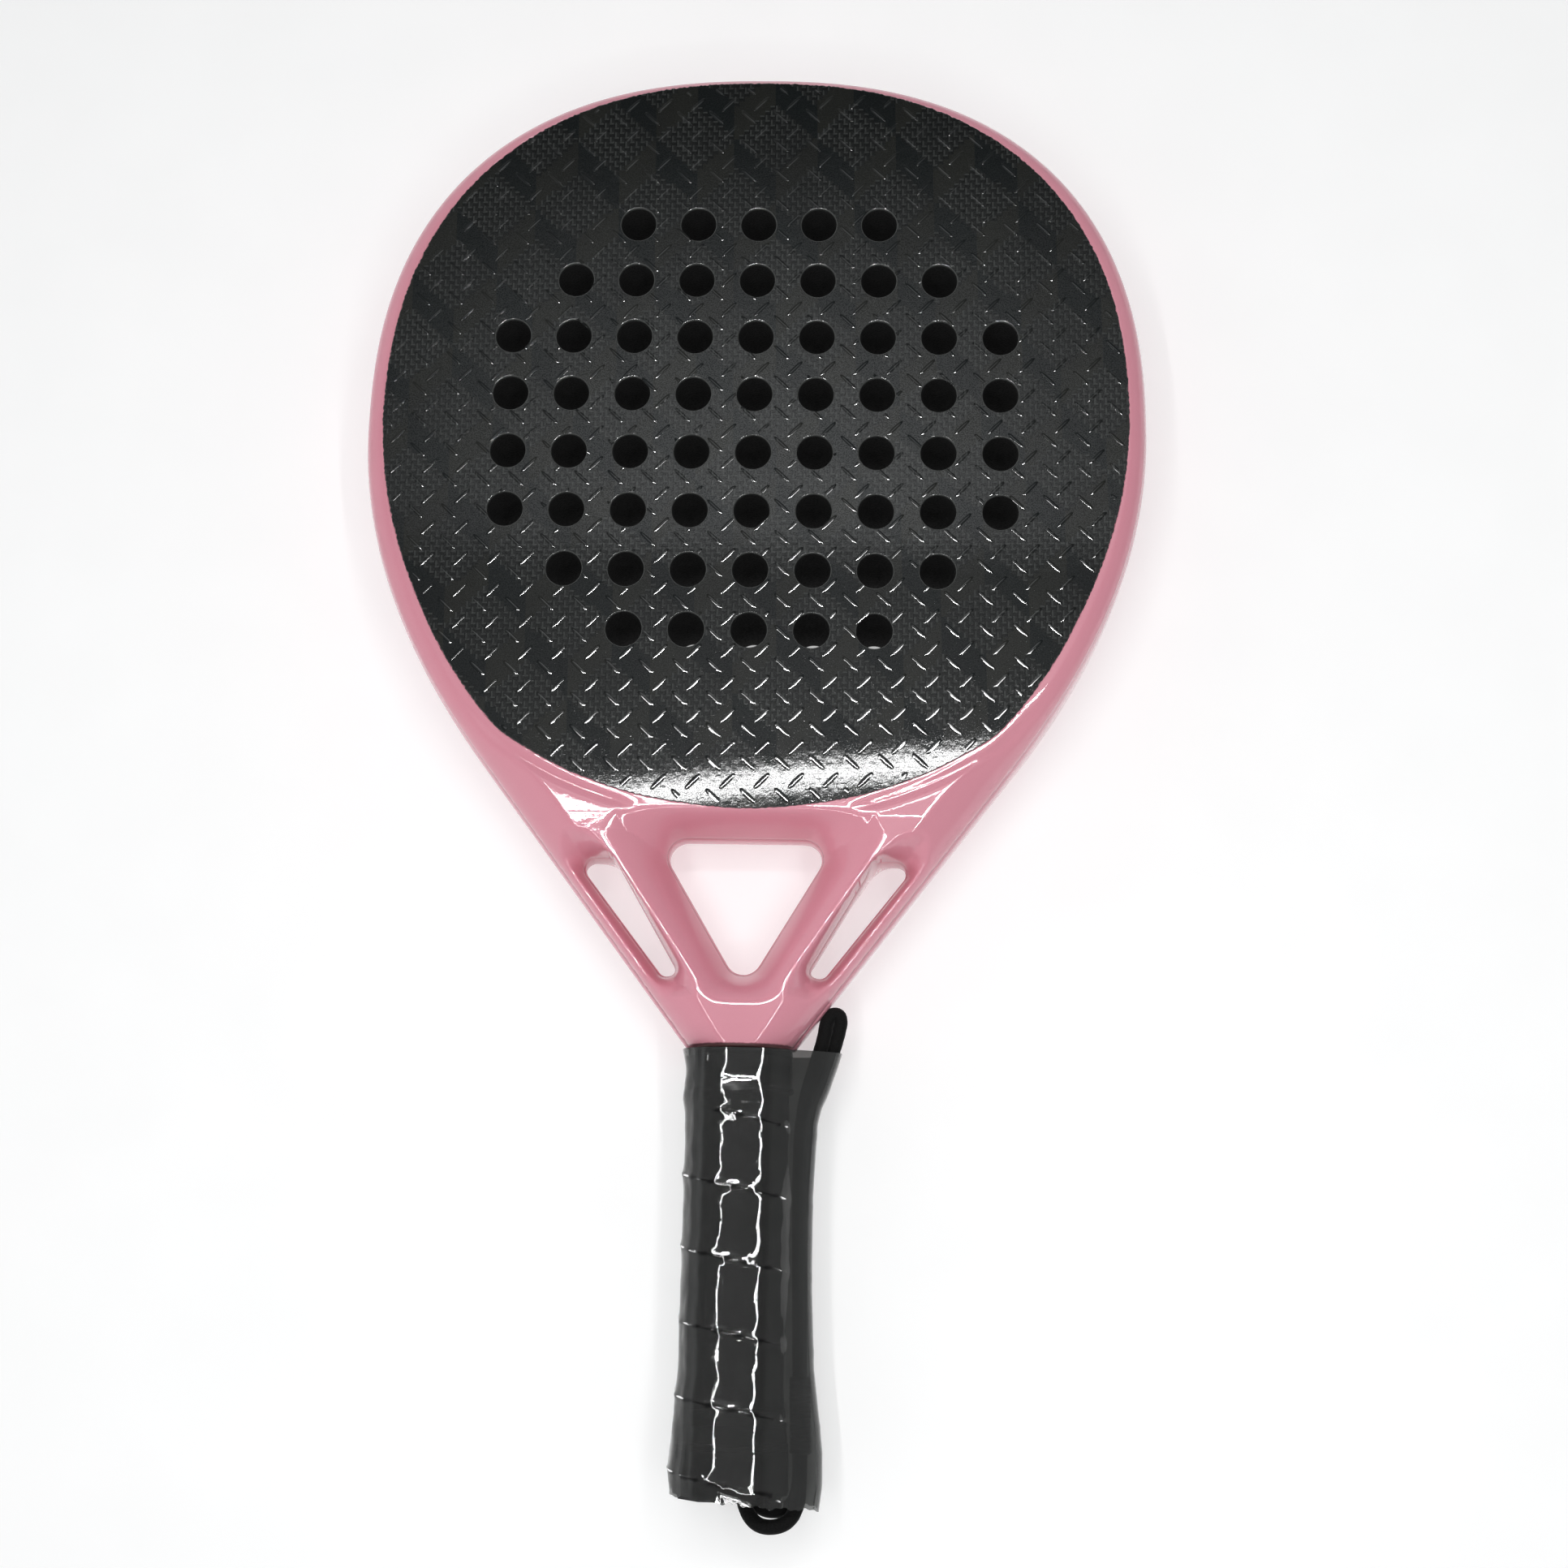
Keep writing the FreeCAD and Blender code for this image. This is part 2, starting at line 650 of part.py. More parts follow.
def check(parts):
    """Every object is up to date, and every sub-part is a valid solid."""
    for thing in document.Objects:
        if "Invalid" in thing.State or "Error" in thing.State:
            raise ValueError(f"{thing.Name} is {thing.State}")
    for label, part in parts.items():
        shape = part.Shape
        if shape.isNull() or not shape.isValid() or not shape.Solids:
            raise ValueError(f"{label} is not a valid solid")
        bounds = shape.BoundBox
        print(
            f"{label:22s} solids {len(shape.Solids)} volume {shape.Volume / 1000:8.2f} cm3"
            f"  x {bounds.XMin:7.1f} {bounds.XMax:7.1f}  y {bounds.YMin:7.1f} {bounds.YMax:7.1f}"
            f"  z {bounds.ZMin:5.1f} {bounds.ZMax:5.1f}"
        )


def main():
    parts = build_head()
    parts.update(build_handle())
    parts["grip_film_sleeve"] = build_film()
    parts["wrist_cord"] = build_cord()
    parts["cord_knot"] = build_knot()
    parts["cord_slider"] = build_slider()
    for label, part in parts.items():
        part.Label = label
    document.recompute()
    check(parts)
    os.makedirs("parts", exist_ok=True)
    for label, part in parts.items():
        part.Shape.exportStep(f"parts/{label}.step")


main()
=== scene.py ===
"""The looks of a padel racket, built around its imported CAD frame.

Shapes are worked out in millimetres, in the row frame: x across, y towards the head, z up from the back face.
They are scaled to metres when a mesh is made.
"""
import math
import random

import bpy
import numpy as np
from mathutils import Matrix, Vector, noise
from mathutils.geometry import delaunay_2d_cdt


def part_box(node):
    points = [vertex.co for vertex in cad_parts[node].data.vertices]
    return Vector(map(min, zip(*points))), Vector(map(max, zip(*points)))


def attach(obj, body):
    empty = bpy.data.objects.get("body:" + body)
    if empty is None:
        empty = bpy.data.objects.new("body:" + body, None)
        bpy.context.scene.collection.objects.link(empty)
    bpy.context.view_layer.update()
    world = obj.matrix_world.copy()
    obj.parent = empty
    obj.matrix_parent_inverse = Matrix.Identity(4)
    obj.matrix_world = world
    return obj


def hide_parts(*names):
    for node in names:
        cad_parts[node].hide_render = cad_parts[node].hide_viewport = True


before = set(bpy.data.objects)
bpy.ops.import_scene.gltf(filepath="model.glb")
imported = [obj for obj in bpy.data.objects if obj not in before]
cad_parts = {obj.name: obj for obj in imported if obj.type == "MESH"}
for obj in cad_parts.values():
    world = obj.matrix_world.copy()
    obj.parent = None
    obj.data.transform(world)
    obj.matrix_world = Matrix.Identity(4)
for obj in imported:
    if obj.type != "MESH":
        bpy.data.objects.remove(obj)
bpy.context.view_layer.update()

MM = 0.001
MASK_SEED = 7


def node_box(name):
    """The lowest and highest corners of a CAD node, in millimetres."""
    low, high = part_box(name)
    return np.array(low) / MM, np.array(high) / MM


# ---------------------------------------------------------------- driving sizes
SHELL_LOW, SHELL_HIGH = node_box("frame_tube")
_, SKIN_HIGH = node_box("front_face_skin")
COLLAR_LOW, COLLAR_HIGH = node_box("grip_collar")
WRAP_LOW, WRAP_HIGH = node_box("grip_wrap")
SLIDER_LOW, SLIDER_HIGH = node_box("cord_slider")

THICKNESS = SKIN_HIGH[2]
MIDDLE = THICKNESS / 2
HEAD_HALF = SHELL_HIGH[0]
HEAD_TOP = SHELL_HIGH[1]
SHELL_END = SHELL_LOW[1]
FACE_HALF = SKIN_HIGH[0]
FACE_TOP = SKIN_HIGH[1]

CENTRE_Y = 103.0          # the middle of the hole pattern, and the widest part of the head
HEAD_ROUNDNESS = 2.4
FACE_ROUNDNESS = 2.35
FLANK_BEND = 0.00347      # how fast the head narrows below its widest part
LEG_START = 110.0         # below the centre, where the flanks turn straight
FACE_LOWER = [(117.8, 20), (112.8, 40), (105, 60), (94.5, 80), (80, 99.3), (67.5, 108.3), (50, 116.8),
              (28, 123.2)]
FACE_BOTTOM = 126.0

# the throat's openings, as corners (x, below the centre, corner radius): the slot is the right one
TRIANGLE = [(28.0, 133.6, 5.5), (0, 180.6, 5.6), (-28.0, 133.6, 5.5)]
SLOT = [(53.2, 140.2, 3.6), (25.0, 176.4, 2.8), (20.2, 175.6, 1.6), (41.0, 140.2, 4.6)]
# the edges of the hollows pressed in round those openings
TRIANGLE_RIM = [(28, 125.9, 26), (40.4, 127.0, 1.6), (43.9, 133.2, 2.6), (10.2, 185.4, 9.5),
                (-10.2, 185.4, 9.5), (-43.9, 133.2, 2.6), (-40.4, 127.0, 1.6), (-28, 125.9, 26)]
SLOT_RIM = [(57.6, 131.6, 3.0), (56.6, 141.4, 5.0), (30.3, 176.2, 5.0), (22.0, 184.6, 5.0),
            (13.4, 184.2, 1.4), (13.4, 179.4, 2.5), (40.4, 141.4, 7.0), (48.4, 133.6, 4.0)]
TRIANGLE_DEPTH = 14.0
SLOT_DEPTH = 12.0
TAPER_START, TAPER_END, TAPER_DEPTH = 128.0, 199.0, 3.2
# how far the walls swell between the front and the back
SIDE_BULGE, TRIANGLE_BULGE, SLOT_BULGE = 1.0, 0.6, 0.4

HOLES_IN_ROW = (5, 7, 9, 9, 9, 9, 7, 5)
HOLE_PITCH = 19.7
HOLE_RADIUS = 5.7

PAINT_LEVEL = THICKNESS - 0.3    # the paint's surface, a little under the face's raised dashes
SKIN_LEVEL = THICKNESS - 0.2
# below this, counted from the middle, the skin's cut edges at its rim and its holes are coloured paler: a
# painted highlight on their chamfers
HOLE_LIP = SKIN_LEVEL - MIDDLE - 0.005

GRIP_HALF_WIDTH, GRIP_HALF_DEPTH = 15.0, 14.8
GRIP_WALL = 1.8
FLARE, FLARE_START, FLARE_END = 1.9, -197.0, -216.0
TAPE_PITCH, TAPE_START = 21.3, 6.2
TAPE_STEP = 0.5
# the film's front is a little round, about a line left of the middle
FILM_CROWN_X, FILM_CROWN_RADIUS = 0.6, 45.0
COLLAR_HALF_WIDTH, COLLAR_HALF_DEPTH = COLLAR_HIGH[0] - 0.1, COLLAR_HIGH[2] - MIDDLE - 0.1

# the film sleeve: y, reach to the left, half its depth, reach to the right
FILM_STATIONS = [(-96.3, 17.4, 17.0, 30.6), (-101, 17.2, 16.9, 29.4), (-108, 16.9, 16.7, 26.9),
                 (-113, 16.0, 15.9, 24.6), (-118, 15.6, 15.4, 23.4), (-140, 15.6, 15.4, 22.4),
                 (-165, 15.6, 15.4, 22.5), (-190, 15.6, 15.4, 23.6), (-203, 16.5, 16.2, 25.2),
                 (-214, 17.6, 17.4, 26.5), (-222, 17.7, 17.4, 26.6), (-227.5, 17.2, 17.0, 25.6)]
FILM_THICKNESS = 0.14

CORD_DIAMETER = 4.4
CORD_LEAN = -0.026657      # x over y, where the slider runs
# from the knot down and round below the butt, up to the loop beside the throat, and back to the knot
CORD_ROUTE = [(3.2, -219, 21.35), (3.2, -235.3, 21.35), (20.0, -235.3, 21.45), (20.6, -215, 21.35),
              (19.6, -179, 21.35), (18.6, -140, 21.45), (18.9, -116, 21.6), (22.4, -101.5, 20.6),
              (25.4, -92.5, 19.6), (26.5, -84.0, 19.2), (31.1, -84.0, 18.6), (29.5, -92, 18.2),
              (26.0, -102.5, 17.2), (21.0, -117, 16.4), (18.7, -140.5, 16.55), (19.6, -179, 16.65),
              (20.6, -215, 16.65), (19.6, -231.2, 17.0), (5.2, -231.0, 17.0), (3.2, -219, 16.65)]


# ---------------------------------------------------------------- camera
CAMERA_PLACE = (0.03726, -0.15945, 0.6899)      # metres
CAMERA_TURN = (12.4992, 1.9420, 1.1939)         # degrees
CAMERA_LENS, CAMERA_SENSOR = 49.78, 36.0


def add_camera():
    """Looks down on the front face from the handle's side of the middle."""
    data = bpy.data.cameras.new("camera")
    data.lens = CAMERA_LENS
    data.sensor_width = CAMERA_SENSOR
    camera = bpy.data.objects.new("camera", data)
    camera.location = CAMERA_PLACE
    camera.rotation_euler = [math.radians(angle) for angle in CAMERA_TURN]
    bpy.context.scene.collection.objects.link(camera)
    bpy.context.scene.camera = camera


# ---------------------------------------------------------------- meshes
def make_mesh(name, points, faces):
    """A mesh object from points in millimetres and faces of three or four points."""
    mesh = bpy.data.meshes.new(name)
    mesh.from_pydata((np.asarray(points, float) * MM).tolist(), [], [list(map(int, face)) for face in faces])
    mesh.validate()
    mesh.polygons.foreach_set("use_smooth", [True] * len(mesh.polygons))
    mesh.update()
    piece = bpy.data.objects.new(name, mesh)
    bpy.context.scene.collection.objects.link(piece)
    return piece


def dress(piece, material, body, slot_name, *nodes):
    """Gives a piece its material and its body, and hides the CAD nodes that it stands for. slot_name is not
    used.
    """
    piece.data.materials.clear()
    piece.data.materials.append(material)
    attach(piece, body)
    if nodes:
        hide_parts(*nodes)
    return piece


def sharpen(piece, degrees):
    """Shades smooth except where two faces meet at more than this angle."""
    piece.data.set_sharp_from_angle(angle=math.radians(degrees))
    return piece


def loft(rows, closed_ends=False, start=0):
    """Points and faces of a tube through rows, each a closed ring of as many points."""
    rows = [np.asarray(row, float) for row in rows]
    count = len(rows[0])
    points = np.vstack(rows)
    faces = []
    for r in range(len(rows) - 1):
        for i in range(count):
            j = (i + 1) % count
            low, high = start + r * count, start + (r + 1) * count
            faces.append((low + i, low + j, high + j, high + i))
    if closed_ends:
        faces.append([start + i for i in reversed(range(count))])
        faces.append([start + (len(rows) - 1) * count + i for i in range(count)])
    return points, faces


def shell(name, outer, inner):
    """A closed tube wall: the outer rows, then back through the inner rows to where it began."""
    rows = [*outer, *reversed(inner)]
    points, faces = loft(rows)
    count, last = len(outer[0]), len(rows) - 1
    for i in range(count):
        j = (i + 1) % count
        faces.append((last * count + i, last * count + j, j, i))
    return make_mesh(name, points, faces)


# ---------------------------------------------------------------- flat outlines
def even(loop, spacing):
    """The same closed outline with points about that far apart, its corners kept by their density."""
    loop = np.asarray(loop, float)
    ends = np.roll(loop, -1, axis=0)
    lengths = np.linalg.norm(ends - loop, axis=1)
    along = np.concatenate([[0], np.cumsum(lengths)])
    count = max(12, int(round(along[-1] / spacing)))
    marks = np.arange(count) * along[-1] / count
    closed = np.vstack([loop, loop[:1]])
    return np.column_stack([np.interp(marks, along, closed[:, k]) for k in (0, 1)])


def rounded(corners, steps=10):
    """A closed outline from corners (x, below, radius), as (x, y) points anticlockwise."""
    places = [np.array((x, CENTRE_Y - below), float) for x, below, _ in corners]
    loop = []
    for i, (_, _, radius) in enumerate(corners):
        before, here, after = places[i - 1], places[i], places[(i + 1) % len(places)]
        a, b = before - here, after - here
        reach_a, reach_b = np.linalg.norm(a), np.linalg.norm(b)
        a, b = a / reach_a, b / reach_b
        half = math.acos(np.clip(a @ b, -1, 1)) / 2
        cut = min(radius / math.tan(half), 0.49 * reach_a, 0.49 * reach_b)
        radius = cut * math.tan(half)
        centre = here + (a + b) / np.linalg.norm(a + b) * radius / math.sin(half)
        first, last = here + a * cut - centre, here + b * cut - centre
        turn = math.atan2(first[0] * last[1] - first[1] * last[0], first @ last)
        for k in range(steps + 1):
            angle = turn * k / steps
            c, s = math.cos(angle), math.sin(angle)
            loop.append(centre + (c * first[0] - s * first[1], s * first[0] + c * first[1]))
    loop = np.array(loop)
    return loop if signed_area(loop) > 0 else loop[::-1]


def signed_area(loop):
    after = np.roll(loop, -1, axis=0)
    return 0.5 * np.sum(loop[:, 0] * after[:, 1] - after[:, 0] * loop[:, 1])


def mirrored(loop):
    """The outline on the other side of the racket's length, still anticlockwise."""
    return (loop * (-1, 1))[::-1]


def crown(half_width, rise, roundness, steps=140):
    """The upper half of a rounded head, from its right side over the top to its left."""
    angles = np.linspace(0, math.pi, steps)
    power = 2 / roundness
    x = half_width * np.sign(np.cos(angles)) * np.abs(np.cos(angles)) ** power
    y = CENTRE_Y + rise * np.sin(angles) ** power
    return np.column_stack([x, y])


def flank_half(below):
    """The frame's half width, below its widest part."""
    curved = np.minimum(below, LEG_START)
    straight = np.maximum(below - LEG_START, 0)
    return HEAD_HALF - FLANK_BEND * curved ** 2 - 2 * FLANK_BEND * LEG_START * straight


def head_outline():
    """The whole frame seen from the front, anticlockwise."""
    below = np.linspace(CENTRE_Y - SHELL_END, 0.5, 120)
    flank = np.column_stack([flank_half(below), CENTRE_Y - below])
    top = crown(HEAD_HALF, HEAD_TOP - CENTRE_Y, HEAD_ROUNDNESS)
    return np.vstack([flank, top, flank[::-1] * (-1, 1)])


def through(points, steps=12):
    """A smooth line through points."""
    points = np.asarray(points, float)
    padded = np.vstack([2 * points[0] - points[1], points, 2 * points[-1] - points[-2]])
    out = []
    for p0, p1, p2, p3 in zip(padded, padded[1:], padded[2:], padded[3:]):
        for k in range(steps):
            t = k / steps
            out.append(0.5 * (2 * p1 + (p2 - p0) * t + (2 * p0 - 5 * p1 + 4 * p2 - p3) * t ** 2
                              + (3 * p1 - p0 - 3 * p2 + p3) * t ** 3))
    out.append(points[-1])
    return np.array(out)


def face_outline():
    """The edge of the black face, anticlockwise from its bottom."""
    right = [(0, FACE_BOTTOM)] + FACE_LOWER[::-1] + [(FACE_HALF, 0)]
    left = [(-x, below) for x, below in reversed(right)]
    lower = through([(x, CENTRE_Y - below) for x, below in left[:-1] + right])
    middle = len(lower) // 2
    top = crown(FACE_HALF, FACE_TOP - CENTRE_Y, FACE_ROUNDNESS)
    return np.vstack([lower[middle:-1], top, lower[1:middle]])


def hole_centres():
    """The middles of the holes through the face, top row first."""
    rows = len(HOLES_IN_ROW)
    for row, count in enumerate(HOLES_IN_ROW):
        for i in range(count):
            yield ((i - (count - 1) / 2) * HOLE_PITCH, CENTRE_Y + ((rows - 1) / 2 - row) * HOLE_PITCH)


def circle(centre, radius, count):
    angles = np.arange(count) * 2 * math.pi / count
    return np.column_stack([centre[0] + radius * np.cos(angles), centre[1] + radius * np.sin(angles)])


def distance(points, loop):
    """How far each point is from a closed outline."""
    start, end = loop, np.roll(loop, -1, axis=0)
    run = end - start
    length = np.maximum((run ** 2).sum(1), 1e-12)
    best = np.full(len(points), np.inf)
    for first in range(0, len(points), 4000):
        p = points[first:first + 4000]
        across = p[:, None, :] - start[None]
        share = np.clip((across * run[None]).sum(2) / length, 0, 1)
        gap = across - share[..., None] * run[None]
        best[first:first + 4000] = np.sqrt((gap ** 2).sum(2).min(1))
    return best


def inside(points, loop):
    """Whether each point is inside a closed outline."""
    x, y = points[:, 0], points[:, 1]
    result = np.zeros(len(points), bool)
    for a, b in zip(loop, np.roll(loop, -1, axis=0)):
        if a[1] == b[1]:
            continue
        crosses = (a[1] > y) != (b[1] > y)
        result ^= crosses & (x < (b[0] - a[0]) * (y - a[1]) / (b[1] - a[1]) + a[0])
    return result


def between(points, loops):
    """Whether each point is inside the first outline and outside the others."""
    result = inside(points, loops[0])
    for loop in loops[1:]:
        result &= ~inside(points, loop)
    return result


def signed(points, loop):
    """The distance to an outline, negative inside it."""
    return np.where(inside(points, loop), -1, 1) * distance(points, loop)


def offset(loop, gap):
    """The outline moved to its right hand side by gap, so outward if it runs anticlockwise."""
    way = np.roll(loop, -1, axis=0) - np.roll(loop, 1, axis=0)
    way /= np.linalg.norm(way, axis=1)[:, None]
    return loop + gap * np.column_stack([way[:, 1], -way[:, 0]])


def smooth_step(low, high, value):
    t = np.clip((value - low) / (high - low), 0, 1)
    return t * t * (3 - 2 * t)


def soft_floor(value, width):
    """The value, or 0 where it is below 0, with the corner rounded over that width."""
    return np.where(value > width, value, np.where(value < -width, 0, (value + width) ** 2 / (4 * width)))


# ---------------------------------------------------------------- the painted frame's relief
OUTLINE = even(offset(even(head_outline(), 1.3), -SIDE_BULGE), 1.3)
FACE = even(face_outline(), 1.0)
TRIANGLE_EDGE = even(offset(even(rounded(TRIANGLE), 0.9), TRIANGLE_BULGE), 0.8)
RIGHT_SLOT = even(offset(even(rounded(SLOT), 0.8), SLOT_BULGE), 0.8)
LEFT_SLOT = mirrored(RIGHT_SLOT)
TRIANGLE_CREST = even(rounded(TRIANGLE_RIM, 14), 0.9)
RIGHT_CREST = even(rounded(SLOT_RIM), 0.9)
LEFT_CREST = mirrored(RIGHT_CREST)


def bevel_width(below):
    """How far in from the outer edge the flat top begins."""
    return 5.4 + 5.6 * smooth_step(88, 124, below) - 1.8 * smooth_step(176, 197, below)


def bevel_depth(below):
    return 5.9 + 6.1 * smooth_step(84, 124, below)


def bevel_drop(points):
    """The side's fall from the flat top to the outer edge."""
    below = CENTRE_Y - points[:, 1]
    width = bevel_width(below)
    away = distance(points, OUTLINE)
    at_end = points[:, 1] < SHELL_END + width + 4
    legs = (flank_half(below) - np.abs(points[:, 0])) * math.cos(math.atan(2 * FLANK_BEND * LEG_START))
    away = np.where(at_end, np.maximum(legs - SIDE_BULGE, 0), away)
    rise = (width - away) / width
    slope = 0.16 + 0.22 * smooth_step(88, 124, below)
    curve = 1 - np.sqrt(1 - np.clip(rise, 0, 1) ** 2)
    return bevel_depth(below) * (slope * soft_floor(rise, 0.075) + (1 - slope) * curve)


def hollow_drop(points, crest, edge, depth, bend, rim=1.05):
    """The fall from a hollow's crest to the opening in its middle. rim is how softly the crest is rounded."""
    within = signed(points, crest)
    to_edge = distance(points, edge)
    share = soft_floor(-within, rim) / (np.abs(within) + to_edge + 1e-6)
    return depth * bend(points, np.clip(share, 0, 1)) + round_edge(to_edge, 0.5)


def round_edge(away, radius):
    """The rounding of an opening's edge."""
    return radius * (1 - np.sqrt(1 - np.clip(1 - away / radius, 0, 1) ** 2))


def triangle_bend(points, share):
    """Along the struts the hollow steepens inward, and under the face it is scooped out."""
    below = CENTRE_Y - points[:, 1]
    scoop = smooth_step(139, 129, below) * smooth_step(44, 30, np.abs(points[:, 0]))
    strut = 0.36 * share + 0.64 * share ** 2.4
    yoke = 0.34 * share + 0.66 * share ** 1.8
    return strut * (1 - scoop) + yoke * scoop


def slot_bend(points, share):
    return 0.45 * share + 0.55 * share ** 1.8


def front_level(points):
    """The height of the painted frame's front surface."""
    below = CENTRE_Y - points[:, 1]
    drop = TAPER_DEPTH * np.clip((below - TAPER_START) / (TAPER_END - TAPER_START), 0, 1)
    drop = drop + bevel_drop(points)
    drop = drop + hollow_drop(points, TRIANGLE_CREST, TRIANGLE_EDGE, TRIANGLE_DEPTH, triangle_bend)
    drop = drop + hollow_drop(points, RIGHT_CREST, RIGHT_SLOT, SLOT_DEPTH, slot_bend)
    drop = drop + hollow_drop(points, LEFT_CREST, LEFT_SLOT, SLOT_DEPTH, slot_bend)
    from_face = signed(points, FACE)
    drop = drop + 0.5 * smooth_step(0.15, -0.35, from_face)
    groove = np.exp(-((from_face - 3.4) / 1.5) ** 2)
    drop = drop + 0.75 * groove * smooth_step(84, 108, below) * smooth_step(30, 44, np.abs(points[:, 0]))
    return PAINT_LEVEL - drop


def sown(batches, gap):
    """Points from all the batches in turn, leaving out any that is closer than gap to one before it."""
    cells, kept = {}, []
    for batch in batches:
        for x, y in batch:
            i, j = int(x // gap), int(y // gap)
            near = (cells.get((i + a, j + b)) for a in (-1, 0, 1) for b in (-1, 0, 1))
            if any(q and (q[0] - x) ** 2 + (q[1] - y) ** 2 < gap * gap for q in near):
                continue
            cells[(i, j)] = (x, y)
            kept.append((x, y))
    return np.array(kept)


def triangulated(loops, extra):
    """Triangles that fill between the outlines: the first holds the others."""
    points = [tuple(p) for loop in loops for p in loop]
    edges, first = [], 0
    for loop in loops:
        edges += [(first + i, first + (i + 1) % len(loop)) for i in range(len(loop))]
        first += len(loop)
    points += [tuple(p) for p in extra]
    found, _, faces, _, _, _ = delaunay_2d_cdt([Vector(p) for p in points], edges, [], 0, 1e-5)
    found = np.array([tuple(p) for p in found])
    faces = np.array([tuple(face) for face in faces if len(face) == 3])
    faces = faces[between(found[faces].mean(axis=1), loops)]
    a, b, c = (found[faces[:, k]] for k in range(3))
    turn = (b[:, 0] - a[:, 0]) * (c[:, 1] - a[:, 1]) - (b[:, 1] - a[:, 1]) * (c[:, 0] - a[:, 0])
    faces = np.where((turn < 0)[:, None], faces[:, ::-1], faces)
    return found, faces[np.abs(turn) > 1e-9]


def grid(low, high, spacing):
    """Points of a triangular grid over a box."""
    rows = []
    for k, y in enumerate(np.arange(low[1], high[1], spacing * math.sqrt(3) / 2)):
        xs = np.arange(low[0] + (k % 2) * spacing / 2, high[0], spacing)
        rows.append(np.column_stack([xs, np.full(len(xs), y)]))
    return np.vstack(rows)


UNDER_FACE = 3.0      # how far the paint goes on under the face's edge
THROAT_HALF = 92.0
THROAT_SPACING, RIM_SPACING, LEAST_SPACING = 0.95, 2.4, 0.22


def shell_points(loops):
    """Where the painted frame's surface is sampled: closest along its edges and crests."""
    rings = []
    for gap in (0.04, 0.16, 0.36, 0.7, 1.2, 1.9, 2.8, 3.8, 4.9, 6.0):
        rings.append(offset(OUTLINE, -gap))
    for gap in (0.04, 0.14, 0.32, 0.6, 1.0, 1.5):
        rings += [offset(edge, gap) for edge in (TRIANGLE_EDGE, RIGHT_SLOT, LEFT_SLOT)]
    for gap in (0, 0.3, -0.3, 0.6, -0.6, 1.0, -1.0):
        rings += [offset(crest, gap) for crest in (TRIANGLE_CREST, RIGHT_CREST, LEFT_CREST)]
    for gap in (0.3, 0, -0.3, -0.8, 0.9, 1.7):
        rings.append(offset(FACE, gap))
    inward = offset(OUTLINE, -1)
    for gap in (0, 0.35, -0.35, 0.8, -0.8):
        widths = bevel_width(CENTRE_Y - OUTLINE[:, 1]) + gap
        rings.append(inward + (inward - OUTLINE) * (widths - 1)[:, None])
    throat = grid((-THROAT_HALF, SHELL_END), (THROAT_HALF, 20), THROAT_SPACING)
    rim = grid((-HEAD_HALF, 10), (HEAD_HALF, HEAD_TOP), RIM_SPACING)
    edges = np.vstack(loops)
    points = sown([edges] + rings + [throat, rim], LEAST_SPACING)[len(edges):]
    return points[between(points, loops)]


def front_normals(flat, level, step=0.02):
    """The slope of the front surface at each point, as unit normals."""
    slope_x = (front_level(flat + (step, 0)) - level) / step
    slope_y = (front_level(flat + (0, step)) - level) / step
    normals = np.column_stack([-slope_x, -slope_y, np.ones(len(flat))])
    return normals / np.linalg.norm(normals, axis=1)[:, None]


def painted_frame():
    """The frame and its throat as one lacquered moulding, with its back a mirror of its front."""
    loops = [OUTLINE, even(offset(FACE, -UNDER_FACE), 2.0), TRIANGLE_EDGE, RIGHT_SLOT, LEFT_SLOT]
    flat, faces = triangulated(loops, shell_points(loops))
    level = front_level(flat)
    count = len(flat)
    front, back = np.column_stack([flat, level]), np.column_stack([flat, THICKNESS - level])
    all_faces = [tuple(face) for face in faces]
    all_faces += [tuple(count + i for i in reversed(face)) for face in faces]
    normals = front_normals(flat, level)
    rim, ends, ways = open_edges(flat, faces)
    normals[ends] = ways
    for loose in np.setdiff1d(np.flatnonzero(distance(flat, OUTLINE) < 0.05), ends):
        normals[loose] = ways[np.argmin(np.linalg.norm(flat[ends] - flat[loose], axis=1))]
    wall_points, wall_faces, wall_normals = side_walls(flat, level, rim, ends, ways)
    piece = make_mesh("painted_frame", np.vstack([front, back, wall_points]), all_faces + wall_faces)
    every_normal = np.vstack([normals, normals * (1, 1, -1), wall_normals])
    piece.data.normals_split_custom_set_from_vertices(every_normal.tolist())
    return piece


def open_edges(flat, faces):
    """The front's open edges, the points on them, and which way each point faces out of the material."""
    edges = {(a, b) for face in faces for a, b in zip(face, np.roll(face, -1))}
    rim = [(a, b) for a, b in edges if (b, a) not in edges]
    rim.sort()
    ends = np.array(sorted({a for a, _ in rim}))
    ways = np.zeros((len(flat), 3))
    for a, b in rim:
        run = flat[b] - flat[a]
        ways[a, :2] += (run[1], -run[0])
        ways[b, :2] += (run[1], -run[0])
    ways = ways[ends]
    return rim, ends, ways / np.linalg.norm(ways, axis=1)[:, None]


def wall_bulge(places):
    """How far the wall swells at each of its points: it depends on which edge the point is on."""
    bulge = np.full(len(places), SIDE_BULGE)
    bulge[distance(places, TRIANGLE_EDGE) < 0.01] = TRIANGLE_BULGE
    for slot in (RIGHT_SLOT, LEFT_SLOT):
        bulge[distance(places, slot) < 0.01] = SLOT_BULGE
    bulge[signed(places, FACE) < 0] = 0
    return bulge


